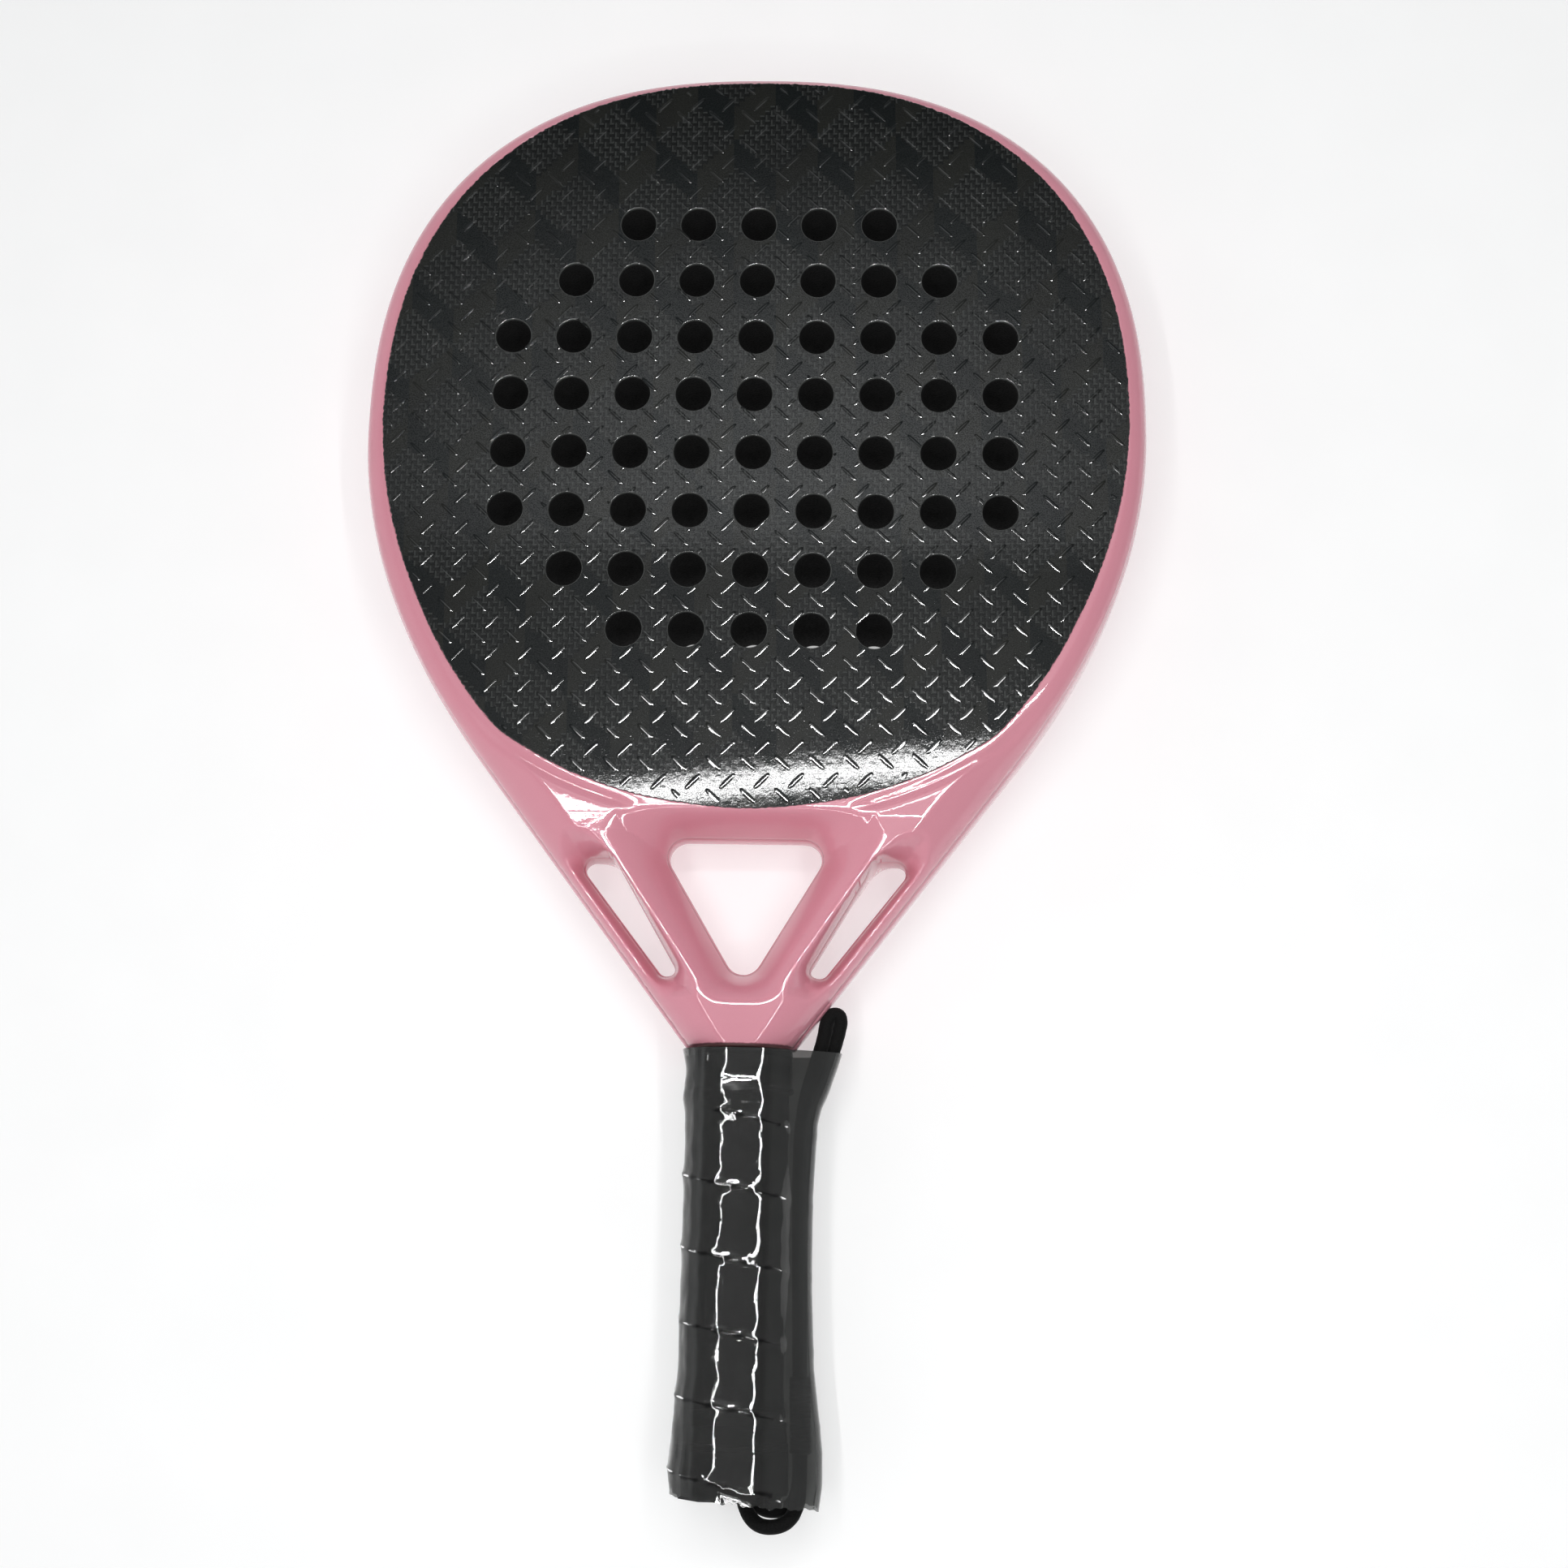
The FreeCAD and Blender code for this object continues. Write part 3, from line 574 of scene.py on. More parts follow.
def side_walls(flat, level, rim, ends, ways, rows=10):
    """Swelling walls between the front's open edges and the back's."""
    place = {a: i for i, a in enumerate(ends)}
    count = len(flat)
    start = count * 2
    bulge = wall_bulge(flat[ends])
    high = level[ends]
    points, normals = [], []
    for r in range(1, rows):
        angle = math.pi * r / rows
        reach, lift = bulge * math.sin(angle), math.cos(angle)
        z = MIDDLE + (high - MIDDLE) * lift
        points.append(np.column_stack([flat[ends] + ways[:, :2] * reach[:, None], z]))
        lean = ways * math.sin(angle) * (high - MIDDLE)[:, None]
        lean[:, 2] = bulge * lift
        normals.append(lean / np.linalg.norm(lean, axis=1)[:, None])

    def at(row, a):
        if row == 0:
            return a
        if row == rows:
            return count + a
        return start + (row - 1) * len(ends) + place[a]

    quads = [(at(r, b), at(r, a), at(r + 1, a), at(r + 1, b)) for a, b in rim for r in range(rows)]
    return np.vstack(points), quads, np.vstack(normals)


# ---------------------------------------------------------------- the face
DASH_PITCH_X, DASH_PITCH_Y = 10.65, 10.45
LAY_TURN = math.radians(1.3)      # the whole pattern sits slightly turned on the face
DASH_LENGTH, DASH_WIDTH, DASH_HEIGHT = 6.8, 1.30, 0.20
DASH_STATIONS = 9      # places along each dash
DASH_PROFILE = (-1, -0.86, -0.80, -0.40, 0, 0.40, 0.80, 0.86, 1)      # points across it, in half widths
FALLING_DASH = (63.75, -68.5)      # the place of one dash of each sort, from the centre
RISING_DASH = (-48.5, -97.75)
BAND_TOP = 3.0      # below this y the flat face mirrors the lamp's far panel
BAND_DASH_SLOPE = 0.13      # the slope there of a dash's two long facets
DASH_SLOPE_MAX = 0.215
TUBE_SHINE = -41.5      # where the flat face would mirror the lamp's far tube
LAMP_RISE = 652.0      # how far the lamp is above the face


def dash_stations(spots, rising):
    """Places along each dash as an array of (dash, station, x or y), the way across, and the stations."""
    heading = LAY_TURN + math.radians(45 if rising else -45)
    way = np.array((math.cos(heading), math.sin(heading)))
    side = np.array((-way[1], way[0]))
    t = np.sin(np.linspace(-0.5, 0.5, DASH_STATIONS) * math.pi)
    bow = 0.05 * (1 - t * t) * (1 if rising else -1)
    line = np.outer(t * DASH_LENGTH / 2, way) + np.outer(bow, side)
    return spots[:, None, :] + line[None], side, t


def clear_of_edges(places):
    """Whether each place on the face is away from the holes and the rim."""
    flat = places.reshape(-1, 2)
    holes = np.array(list(hole_centres()))
    away = flat[:, None, :] - holes[None, :, :]
    to_hole = np.hypot(away[..., 0], away[..., 1]).min(axis=1)
    good = (to_hole > HOLE_RADIUS + 0.25) & inside(flat, offset(FACE, -1.2))
    return good.reshape(places.shape[:2])


def dash_slope(y):
    """The slope of a dash's long facets at which they mirror the far tube: lower towards the throat."""
    return min((y - TUBE_SHINE) * math.sqrt(2) / LAMP_RISE, DASH_SLOPE_MAX)


def dash_rows(places, side, t):
    """A dash's rows across: a steep foot and a flat facet up to the ridge, then the same again."""
    in_band = places[len(places) // 2, 1] < BAND_TOP
    level, width = (0.0, 1.45 * DASH_WIDTH) if in_band else (0.40, DASH_WIDTH)
    rows = []
    for place, along in zip(places, t):
        half = width / 2 * (0.12 + 0.88 * (1 - along ** 2) ** 0.35)
        lower = DASH_HEIGHT - DASH_HEIGHT * (1 - 0.7 * along ** 10)
        slope = BAND_DASH_SLOPE if in_band else dash_slope(place[1])
        row = []
        for s in DASH_PROFILE:
            drop = DASH_HEIGHT if abs(s) == 1 else max(abs(s) - level, 0) * half * slope + lower
            row.append((*(place + side * half * s), SKIN_LEVEL - 0.02 + DASH_HEIGHT - drop))
        rows.append(row)
    return rows


def dashes():
    """Every raised dash, as points and faces. A hole or the rim cuts a dash short."""
    points, faces = [], []
    c, s = math.cos(LAY_TURN), math.sin(LAY_TURN)
    turn = np.array(((c, s), (-s, c)))
    steps = np.array([(i, j) for i in range(-20, 21) for j in range(-24, 25)])
    wide = len(DASH_PROFILE)
    for (x0, y0), rising in ((FALLING_DASH, False), (RISING_DASH, True)):
        spots = steps * (DASH_PITCH_X, DASH_PITCH_Y) @ turn + (x0, CENTRE_Y + y0)
        spots = spots[inside(spots, offset(FACE, -0.5))]
        places, side, stations = dash_stations(spots, rising)
        kept = clear_of_edges(places)
        for place, keep in zip(places, kept):
            if keep.sum() < 3:
                continue
            rows = dash_rows(place[keep], side, stations[keep])
            start = len(points)
            points += [p for row in rows for p in row]
            corners = [start + r * wide + i for r in range(len(rows) - 1) for i in range(wide - 1)]
            faces += [(a, a + wide, a + wide + 1, a + 1) for a in corners]
    return np.array(points), faces


def ragged(loop, reach, seed):
    """An outline with the fine unevenness of a masked paint edge."""
    draw = random.Random(seed)
    wave = np.array([draw.gauss(0, 1) for _ in loop])
    wave = 0.6 * wave + 0.4 * np.roll(wave, 1)
    return offset_by(loop, reach * np.clip(wave, -1.6, 1.6))


def offset_by(loop, gaps):
    """The outline moved outward by its own gap at each point."""
    return loop + (offset(loop, 1) - loop) * gaps[:, None]


# the skin's edges, as steps of (in from the edge, up to the flat face)
RIM_STEPS = [(0.0, -0.9), (0.02, -0.30), (0.10, -0.10), (0.28, 0.0)]
HOLE_STEPS = [(0.0, -0.9), (0.0, -0.32), (0.06, -0.16), (0.18, -0.04), (0.34, 0.0)]


def face_skin(name, front):
    """A face's skin: flat between its rim and its holes, with raised dashes."""
    outer = ragged(even(FACE, 0.45), 0.14, MASK_SEED)
    rim_rows = [(offset(outer, -gap), SKIN_LEVEL + drop) for gap, drop in RIM_STEPS]
    hole_rows = [[(circle(centre, HOLE_RADIUS + gap, 48), SKIN_LEVEL + drop) for gap, drop in HOLE_STEPS]
                 for centre in hole_centres()]
    loops = [rim_rows[-1][0]] + [rows[-1][0] for rows in hole_rows]
    flat, triangles = triangulated(loops, grid((-FACE_HALF, -25), (FACE_HALF, FACE_TOP), 9.0))
    points = [np.column_stack([flat, np.full(len(flat), SKIN_LEVEL)])]
    faces = [tuple(t) for t in triangles]
    start = len(flat)
    for rows, outward in [(rim_rows, True)] + [(rows, False) for rows in hole_rows]:
        rings = [np.column_stack([loop, np.full(len(loop), z)]) for loop, z in rows]
        ring_points, ring_faces = loft(rings, start=start)
        points.append(ring_points)
        faces += ring_faces if outward else [face[::-1] for face in ring_faces]
        start += len(ring_points)
    bumps, bump_faces = dashes()
    points.append(bumps)
    faces += [tuple(start + i for i in face) for face in bump_faces]
    points = np.vstack(points)
    if not front:
        points = points * (1, 1, -1) + (0, 0, THICKNESS)
        faces = [face[::-1] for face in faces]
    return make_mesh(name, points, faces)


# ---------------------------------------------------------------- the handle
def octagon(half_width, half_depth, corner=2.2, count=160):
    """A handle's section with eight flats, as evenly spaced (x, z) points from its right side."""
    wide, deep = 0.55 * half_width, 0.45 * half_depth
    corners = [(half_width, -deep), (half_width, deep), (wide, half_depth), (-wide, half_depth),
               (-half_width, deep), (-half_width, -deep), (-wide, -half_depth), (wide, -half_depth)]
    loop = rounded([(x, CENTRE_Y - z, corner) for x, z in corners], 6)
    first = np.argmin(np.abs(np.arctan2(loop[:, 1], loop[:, 0])))
    return even(np.roll(loop, -first, axis=0), perimeter(loop) / count)[:count]


def perimeter(loop):
    return np.linalg.norm(np.roll(loop, -1, axis=0) - loop, axis=1).sum()


def at_height(section, y):
    """A section of the handle, set at its place along it."""
    return np.column_stack([section[:, 0], np.full(len(section), y), MIDDLE + section[:, 1]])


def flare(y):
    return FLARE * smooth_step(FLARE_START, FLARE_END, y)


def tape_turn(y, section):
    """How far through a turn of the tape each point of a section is, from 0 at one edge to 1 at the next."""
    share = np.arctan2(section[:, 1], section[:, 0]) / (2 * math.pi)
    phase = (y - TAPE_START) / TAPE_PITCH - share
    return phase - np.floor(phase)


def tape_relief(turn):
    """The wound tape's surface: each turn rises to its free edge, which then steps down."""
    edge = smooth_step(0.0, 0.022, turn)
    return TAPE_STEP * (-0.55 + 0.75 * edge * (1 - 0.75 * turn) + 0.12 * np.sin(turn * math.pi))


def leather_wrap():
    """The grip tape wound round the handle."""
    low, high = WRAP_LOW[1] + 0.05, WRAP_HIGH[1] - 0.05
    heights = np.arange(low, high, 0.4)
    outer = []
    for y in heights:
        grow = flare(y)
        section = octagon(GRIP_HALF_WIDTH + grow - 0.1, GRIP_HALF_DEPTH + grow - 0.1)
        outer.append(at_height(offset_by(section, tape_relief(tape_turn(y, section))), y))
    inner = []
    for y in heights[::12]:
        grow = flare(y) - GRIP_WALL + 0.05
        section = octagon(GRIP_HALF_WIDTH + grow, GRIP_HALF_DEPTH + grow)
        inner.append(at_height(section, y))
    return shell("leather_wrap", outer[::-1], inner[::-1])


def rubber_collar():
    """The stretched band that covers the grip's upper end, with a bead at each edge."""
    low, high = COLLAR_LOW[1], COLLAR_HIGH[1]
    length = high - low
    outer = []
    for share in np.linspace(0, 1, 46):
        y = low + length * share
        lower = math.exp(-((share - 0.075) / 0.055) ** 2)
        upper = 0.5 * math.exp(-((share - 0.95) / 0.045) ** 2)
        ends = 1 - math.exp(-share / 0.02) if share < 0.5 else 1 - math.exp(-(1 - share) / 0.02)
        grow = -0.75 + 0.35 * ends + 0.55 * lower + 0.45 * upper
        section = octagon(COLLAR_HALF_WIDTH + grow, COLLAR_HALF_DEPTH + grow, 3.0)
        outer.append(at_height(section, y))
    inner = [at_height(octagon(GRIP_HALF_WIDTH + 0.12, GRIP_HALF_DEPTH + 0.12), y) for y in (low, high)]
    return shell("rubber_collar", outer[::-1], inner[::-1])


def film_section(left, depth, right, count=176):
    """The clear sleeve's section: close on the grip, and drawn out to the right round the cord."""
    front = [(-left, 0), (-left, 0.42 * depth), (-0.93 * left, 0.70 * depth), (-0.68 * left, 0.95 * depth)]
    for x in (-6.5, -2.2, 2.2, 6.5, 10):
        front.append((x, depth + 0.55 - (x + FILM_CROWN_X) ** 2 / (2 * FILM_CROWN_RADIUS)))
    front += [(0.82 * depth, 0.80 * depth), (max(right - 5.2, 0.98 * depth), 0.44 * depth + 1.0)]
    front += [(right - 1.4, 5.4), (right + 0.35, 3.4), (right + 0.35, 0)]
    back = [(x, -z) for x, z in front[1:-1]][::-1]
    control = np.array(front + back)[::-1]
    return even(closed_spline(control), perimeter(control) / count)[:count]


def closed_spline(control, steps=10):
    """A smooth closed curve drawn in by its control points."""
    out = []
    for i in range(len(control)):
        p0, p1, p2, p3 = (control[(i + k) % len(control)] for k in range(-1, 3))
        for k in range(steps):
            t = k / steps
            out.append(((1 - t) ** 3 * p0 + (3 * t ** 3 - 6 * t ** 2 + 4) * p1
                        + (-3 * t ** 3 + 3 * t ** 2 + 3 * t + 1) * p2 + t ** 3 * p3) / 6)
    return np.array(out)


def film_wrinkle(x, y, z):
    """How far the film stands off its smooth shape: gentle waves, and folds at the left."""
    broad = noise.noise(Vector((x * 0.055, y * 0.045, z * 0.055 + 3)))
    fine = noise.noise(Vector((x * 0.20, y * 0.22, z * 0.20 + 11)))
    crinkle = noise.noise(Vector((x * 0.7, y * 0.34, z * 0.7 + 5)))
    left = 1 - min(1.0, max(0.0, (x + 10.5) / 3.5))
    fold = left * 0.12 * math.sin(x * 2.1 + 1.4 * noise.noise(Vector((y * 0.09, 2.5, 0))))
    crease = left * 0.40 * abs(noise.noise(Vector((x * 0.45, y * 0.13, 8.1))))
    return 0.13 * broad + 0.08 * fine + 0.02 * crinkle + fold - crease


def seam_line(away):
    """1 on the line where one turn of tape meets the next, fading to 0 beside it."""
    return np.exp(-(away / 0.035) ** 2)


def film_over_tape(turn, y):
    """The film is drawn down where one turn of tape meets the next."""
    away = 1 - np.abs(2 * turn - 1)
    crown = -0.45 * (1 - away) ** 6
    groove = -0.16 * seam_line(away)
    return (crown + groove) * smooth_step(-113.5, -116, y)


def film_over_collar(y):
    """The film follows the collar's beads and is drawn in below it."""
    beads = 0.22 * math.exp(-((y + 107.4) / 0.8) ** 2) + 0.15 * math.exp(-((y + 98.0) / 0.9) ** 2)
    waist = -0.20 * math.exp(-((y + 111.5) / 1.8) ** 2)
    barrel = -0.028 * min(abs(y + 102.6), 4.2) ** 2
    return beads + waist + barrel + 0.42 * math.exp(-((y + 102.6) / 6.5) ** 4)


def film_hem(x, y):
    """The lower edge is cut askew and a little unevenly."""
    uneven = 0.35 * np.sin(0.9 * x) + 0.25 * np.sin(2.3 * x + 1)
    return (uneven - 0.10 * x) * smooth_step(-216, -227.5, y)


def film_sleeve():
    """The thin clear sleeve shrunk over the grip and the cord."""
    stations = np.array(FILM_STATIONS, float)[::-1]
    heights = np.linspace(stations[0, 0], stations[-1, 0], 320)
    outer = []
    for y in heights:
        left, depth, right = (np.interp(y, stations[:, 0], stations[:, k]) for k in (1, 2, 3))
        section = film_section(left, depth, right)
        wave = np.array([film_wrinkle(x, y, z) for x, z in section])
        wave += film_over_tape(tape_turn(y, section), y) + film_over_collar(y)
        wave *= 1 - 0.75 * smooth_step(13, 17, section[:, 0])
        ring = at_height(offset_by(section, -wave), y)
        ring[:, 1] += film_hem(ring[:, 0], y)
        outer.append(ring)
    inner = [film_inside(ring) for ring in outer[::3] + [outer[-1]]]
    piece = shell("film_sleeve", outer, inner)
    places = np.vstack(outer + inner[::-1])
    reach = np.interp(places[:, 1], stations[:, 0], stations[:, 3]) - places[:, 0]
    mark(piece, "from_fold", reach)
    turn = tape_turn(places[:, 1], places[:, (0, 2)] - (0, MIDDLE))
    on_grip = (places[:, 1] < -115) * (places[:, 0] < 13)
    # painted shade: where the film lies over a seam between turns of tape it is darkened, for the shaded gap
    # under it
    mark(piece, "painted_seam_shade", seam_line(1 - np.abs(2 * turn - 1)) * on_grip)
    return piece


def mark(piece, name, values):
    """Keeps a number at each of a piece's points, for its material."""
    piece.data.attributes.new(name, "FLOAT", "POINT").data.foreach_set("value", values)


def film_inside(ring):
    """The film's inner surface beside a ring of its outer one."""
    thin = offset(ring[:, (0, 2)], FILM_THICKNESS)
    return np.column_stack([thin[:, 0], ring[:, 1], thin[:, 1]])


# ---------------------------------------------------------------- the wrist cord
def centreline(route, steps=24):
    """Points along the smooth line that has the route as its control points, in millimetres."""
    data = bpy.data.curves.new("cord_line", "CURVE")
    data.dimensions = "3D"
    spline = data.splines.new("NURBS")
    spline.points.add(len(route) - 1)
    for point, place in zip(spline.points, route):
        point.co = (*[value * MM for value in place], 1)
    spline.order_u = 3
    spline.use_endpoint_u = True
    data.resolution_u = steps
    line = bpy.data.objects.new("cord_line", data)
    bpy.context.scene.collection.objects.link(line)
    mesh = bpy.data.meshes.new_from_object(line)
    points = np.array([vertex.co for vertex in mesh.vertices]) / MM
    bpy.data.objects.remove(line)
    bpy.data.meshes.remove(mesh)
    return points


def spaced(points, spacing):
    """Points evenly along an open line."""
    lengths = np.linalg.norm(np.diff(points, axis=0), axis=1)
    along = np.concatenate([[0], np.cumsum(lengths)])
    marks = np.linspace(0, along[-1], int(along[-1] / spacing) + 1)
    return np.column_stack([np.interp(marks, along, points[:, k]) for k in range(3)])


def braid(line, radius, around=28):
    """A round braided cord along a line: two sets of plaits that cross over each other."""
    ways = np.gradient(line, axis=0)
    ways /= np.linalg.norm(ways, axis=1)[:, None]
    side = np.cross(ways[0], (0, 0, 1))
    rows = []
    step = np.linalg.norm(line[1] - line[0])
    for k, (place, way) in enumerate(zip(line, ways)):
        side = side - way * (side @ way)
        side /= np.linalg.norm(side)
        other = np.cross(way, side)
        angle = np.arange(around) * 2 * math.pi / around
        twist = k * step / radius * 1.15
        one, two = np.sin(4 * angle + twist * 2), np.sin(4 * angle - twist * 2)
        plait = np.maximum(np.abs(one), np.abs(two))
        reach = radius * (0.95 + 0.05 * plait)
        rows.append(place + np.outer(np.cos(angle) * reach, side) + np.outer(np.sin(angle) * reach, other))
    points, faces = loft(rows, closed_ends=True)
    return make_mesh("braided_cord", points, [face[::-1] for face in faces])


def slider_sleeve():
    """The ribbed rubber sleeve that slides along both runs of the cord."""
    low, high = SLIDER_LOW, SLIDER_HIGH
    middle = (low + high) / 2
    length = high[1] - low[1]
    half_width = CORD_DIAMETER / 2 + 1.1
    straight = (high[2] - low[2]) / 2 - half_width
    angle = np.arange(56) * 2 * math.pi / 56

    def ring(reach, y):
        x = middle[0] + CORD_LEAN * (y - middle[1]) + reach * np.cos(angle)
        z = middle[2] + (reach * np.sin(angle) + np.sign(np.sin(angle)) * straight)
        return np.column_stack([x, np.full(len(angle), y), z])

    outer, inner = [], []
    for share in np.linspace(0, 1, 96):
        y = low[1] + 0.05 + (length - 0.1) * share
        rib = 0.5 + 0.5 * math.cos(share * length / 1.4 * 2 * math.pi)
        end = 0.35 * (1 - min(1, min(share, 1 - share) / 0.03))
        outer.append(ring(half_width - 0.28 * rib - end, y))
        inner.append(ring(half_width - 0.78, y))
    return shell("slider_sleeve", outer[::-1], inner[::-1][::8] + [inner[0]])


# ---------------------------------------------------------------- material helpers
class Nodes:
    """Makes shader nodes with few words. Inputs are numbers, tuples or other nodes' sockets."""

    def __init__(self, tree):
        self.tree = tree
        tree.nodes.clear()

    def put(self, socket, value):
        if isinstance(value, bpy.types.NodeSocket):
            self.tree.links.new(value, socket)
        else:
            socket.default_value = value

    def make(self, kind, inputs, **settings):
        made = self.tree.nodes.new("ShaderNode" + kind)
        for name, value in settings.items():
            setattr(made, name, value)
        for name, value in inputs.items():
            self.put(made.inputs[name], value)
        return made

    def math(self, operation, *values):
        return self.make("Math", dict(enumerate(values)), operation=operation).outputs[0]

    def vector(self, operation, *values):
        return self.make("VectorMath", dict(enumerate(values)), operation=operation).outputs[0]

    def add(self, a, b):
        return self.math("ADD", a, b)

    def times(self, a, b):
        return self.math("MULTIPLY", a, b)

    def size(self, value):
        return self.math("ABSOLUTE", value)

    def parts(self, vector):
        return self.make("SeparateXYZ", {0: vector}).outputs

    def mix(self, factor, a, b):
        """Between two numbers."""
        return self.math("MULTIPLY_ADD", factor, self.math("SUBTRACT", b, a), a)

    def blend(self, factor, a, b):
        """Between two colours, each a socket or (red, green, blue)."""
        a, b = ((*each, 1.0) if isinstance(each, tuple) else each for each in (a, b))
        return self.make("Mix", {0: factor, 6: a, 7: b}, data_type="RGBA").outputs[2]

    def span(self, value, low, high, new_low=0.0, new_high=1.0):
        inputs = {"Value": value, "From Min": low, "From Max": high, "To Min": new_low, "To Max": new_high}
        return self.make("MapRange", inputs, interpolation_type="SMOOTHSTEP").outputs[0]


class Paint(Nodes):
    """The nodes of a new material: its shader, and the place on the object in millimetres."""

    def __init__(self, name):
        self.material = bpy.data.materials.new(name)
        self.material.use_nodes = True
        super().__init__(self.material.node_tree)
        self.shader = self.make("BsdfPrincipled", {})
        self.make("OutputMaterial", {"Surface": self.shader.outputs[0]})
        place = self.make("TexCoord", {}).outputs["Object"]
        self.place = self.make("VectorMath", {"Vector": place, "Scale": 1 / MM}, operation="SCALE").outputs[0]

    def stretch(self, x, y, z):
        return self.vector("MULTIPLY", self.place, (x, y, z))

    def noise(self, scale, detail=2.0, roughness=0.5, place=None):
        """Noise with that many features a millimetre."""
        inputs = {"Vector": place or self.place, "Scale": scale, "Detail": detail, "Roughness": roughness}
        return self.make("TexNoise", inputs).outputs[0]

    def cells(self, scale):
        """The distance to the middle of the nearest cell, with that many cells a millimetre."""
        return self.make("TexVoronoi", {"Vector": self.place, "Scale": scale}).outputs[0]

    def marked(self, name):
        """A number kept at the mesh's points."""
        return self.make("Attribute", {}, attribute_name=name).outputs["Fac"]

    def bump(self, height, distance):
        """Relief of that many millimetres."""
        return self.make("Bump", {"Height": height, "Distance": distance * MM, "Strength": 1.0}).outputs[0]

    def finish(self, **inputs):
        """Sets the shader's inputs and gives the material."""
        for name, value in inputs.items():
            self.put(self.shader.inputs[name.replace("_", " ")], value)
        return self.material


def pink_lacquer():
    """Thick glossy pink lacquer with a fine orange peel."""
    n = Paint("pink_lacquer")
    cloud = n.noise(0.02, 3.0)
    fleck = n.noise(3.2, 3.0)
    base = n.blend(n.span(cloud, 0.3, 0.7), (0.70, 0.275, 0.345), (0.73, 0.295, 0.365))
    base = n.blend(n.span(fleck, 0.35, 0.7, 0.0, 0.10), base, (0.80, 0.42, 0.48))
    peel = n.add(n.noise(0.42, 2.0), n.times(n.noise(1.7, 3.0), 0.30))
    return n.finish(Base_Color=base, Roughness=n.span(fleck, 0.3, 0.7, 0.34, 0.42), Coat_Weight=1.0,
                    Coat_Roughness=0.025, Coat_Normal=n.bump(peel, 0.016), Normal=n.bump(fleck, 0.01),
                    IOR=1.5, Specular_IOR_Level=0.05)


CUBE_WIDTH, CUBE_TOP, CUBE_EDGE = 26.2, 25.0, 11.25     # a cube's width, its top's height, its upright edges
CUBE_PLACE = (5.0, 197.6, 0)
WEAVE_PITCH = 1.72
ENDLESS = 1e4


def hexagon(n, lay):
    """Coordinates from the middle of the nearest cube outline, stepped to the weave's own squares."""
    row = CUBE_TOP / 2 + CUBE_EDGE
    cell = (CUBE_WIDTH / 2, row, ENDLESS)
    low = tuple(-value for value in cell)
    stepped = n.vector("SNAP", lay, (WEAVE_PITCH, WEAVE_PITCH, ENDLESS))
    flat = n.vector("ADD", stepped, (WEAVE_PITCH / 2, WEAVE_PITCH / 2, 0))
    a = n.parts(n.vector("WRAP", flat, cell, low))
    b = n.parts(n.vector("WRAP", n.vector("SUBTRACT", flat, (CUBE_WIDTH / 2, row, 0)), cell, low))
    slant = CUBE_TOP / CUBE_WIDTH
    reach_a, reach_b = (n.math("MULTIPLY_ADD", n.size(u), slant, n.size(v)) for u, v, _ in (a, b))
    nearer = n.math("LESS_THAN", reach_b, reach_a)
    return n.mix(nearer, a[0], b[0]), n.mix(nearer, a[1], b[1])


def basket(n, lay):
    """Plain weave: its height, and a painted shine on each tow, the upright ones lighter than the level ones,
    each with a lit edge and darker in the low gaps.
    """
    x, y, _ = n.parts(lay)
    across, along = n.math("DIVIDE", x, WEAVE_PITCH), n.math("DIVIDE", y, WEAVE_PITCH)
    upright = n.math("FLOORED_MODULO", n.add(n.math("FLOOR", across), n.math("FLOOR", along)), 2)
    wave_x, wave_y = (n.size(n.math("SINE", n.times(way, math.pi))) for way in (across, along))
    height = n.math("SQRT", n.mix(upright, wave_y, wave_x))
    share_x, share_y = n.math("FRACT", across), n.math("FRACT", along)
    # painted shine: a lit band near each level tow's upper edge and a lit left side on each upright tow,
    # darker where the weave is low
    level_tow_painted_shine = n.times(n.span(share_y, 0.55, 0.75, 0.08, 1.0), n.span(share_x, 0.78, 0.92, 1.0, 0.0))
    upright_tow_painted_shine = n.times(n.span(share_x, 0.22, 0.50, 1.0, 0.22), n.span(share_x, 0.0, 0.12, 0.3, 1.0))
    return height, n.times(n.mix(upright, level_tow_painted_shine, upright_tow_painted_shine), n.span(height, 0.25, 0.6, 0.3, 1.0))


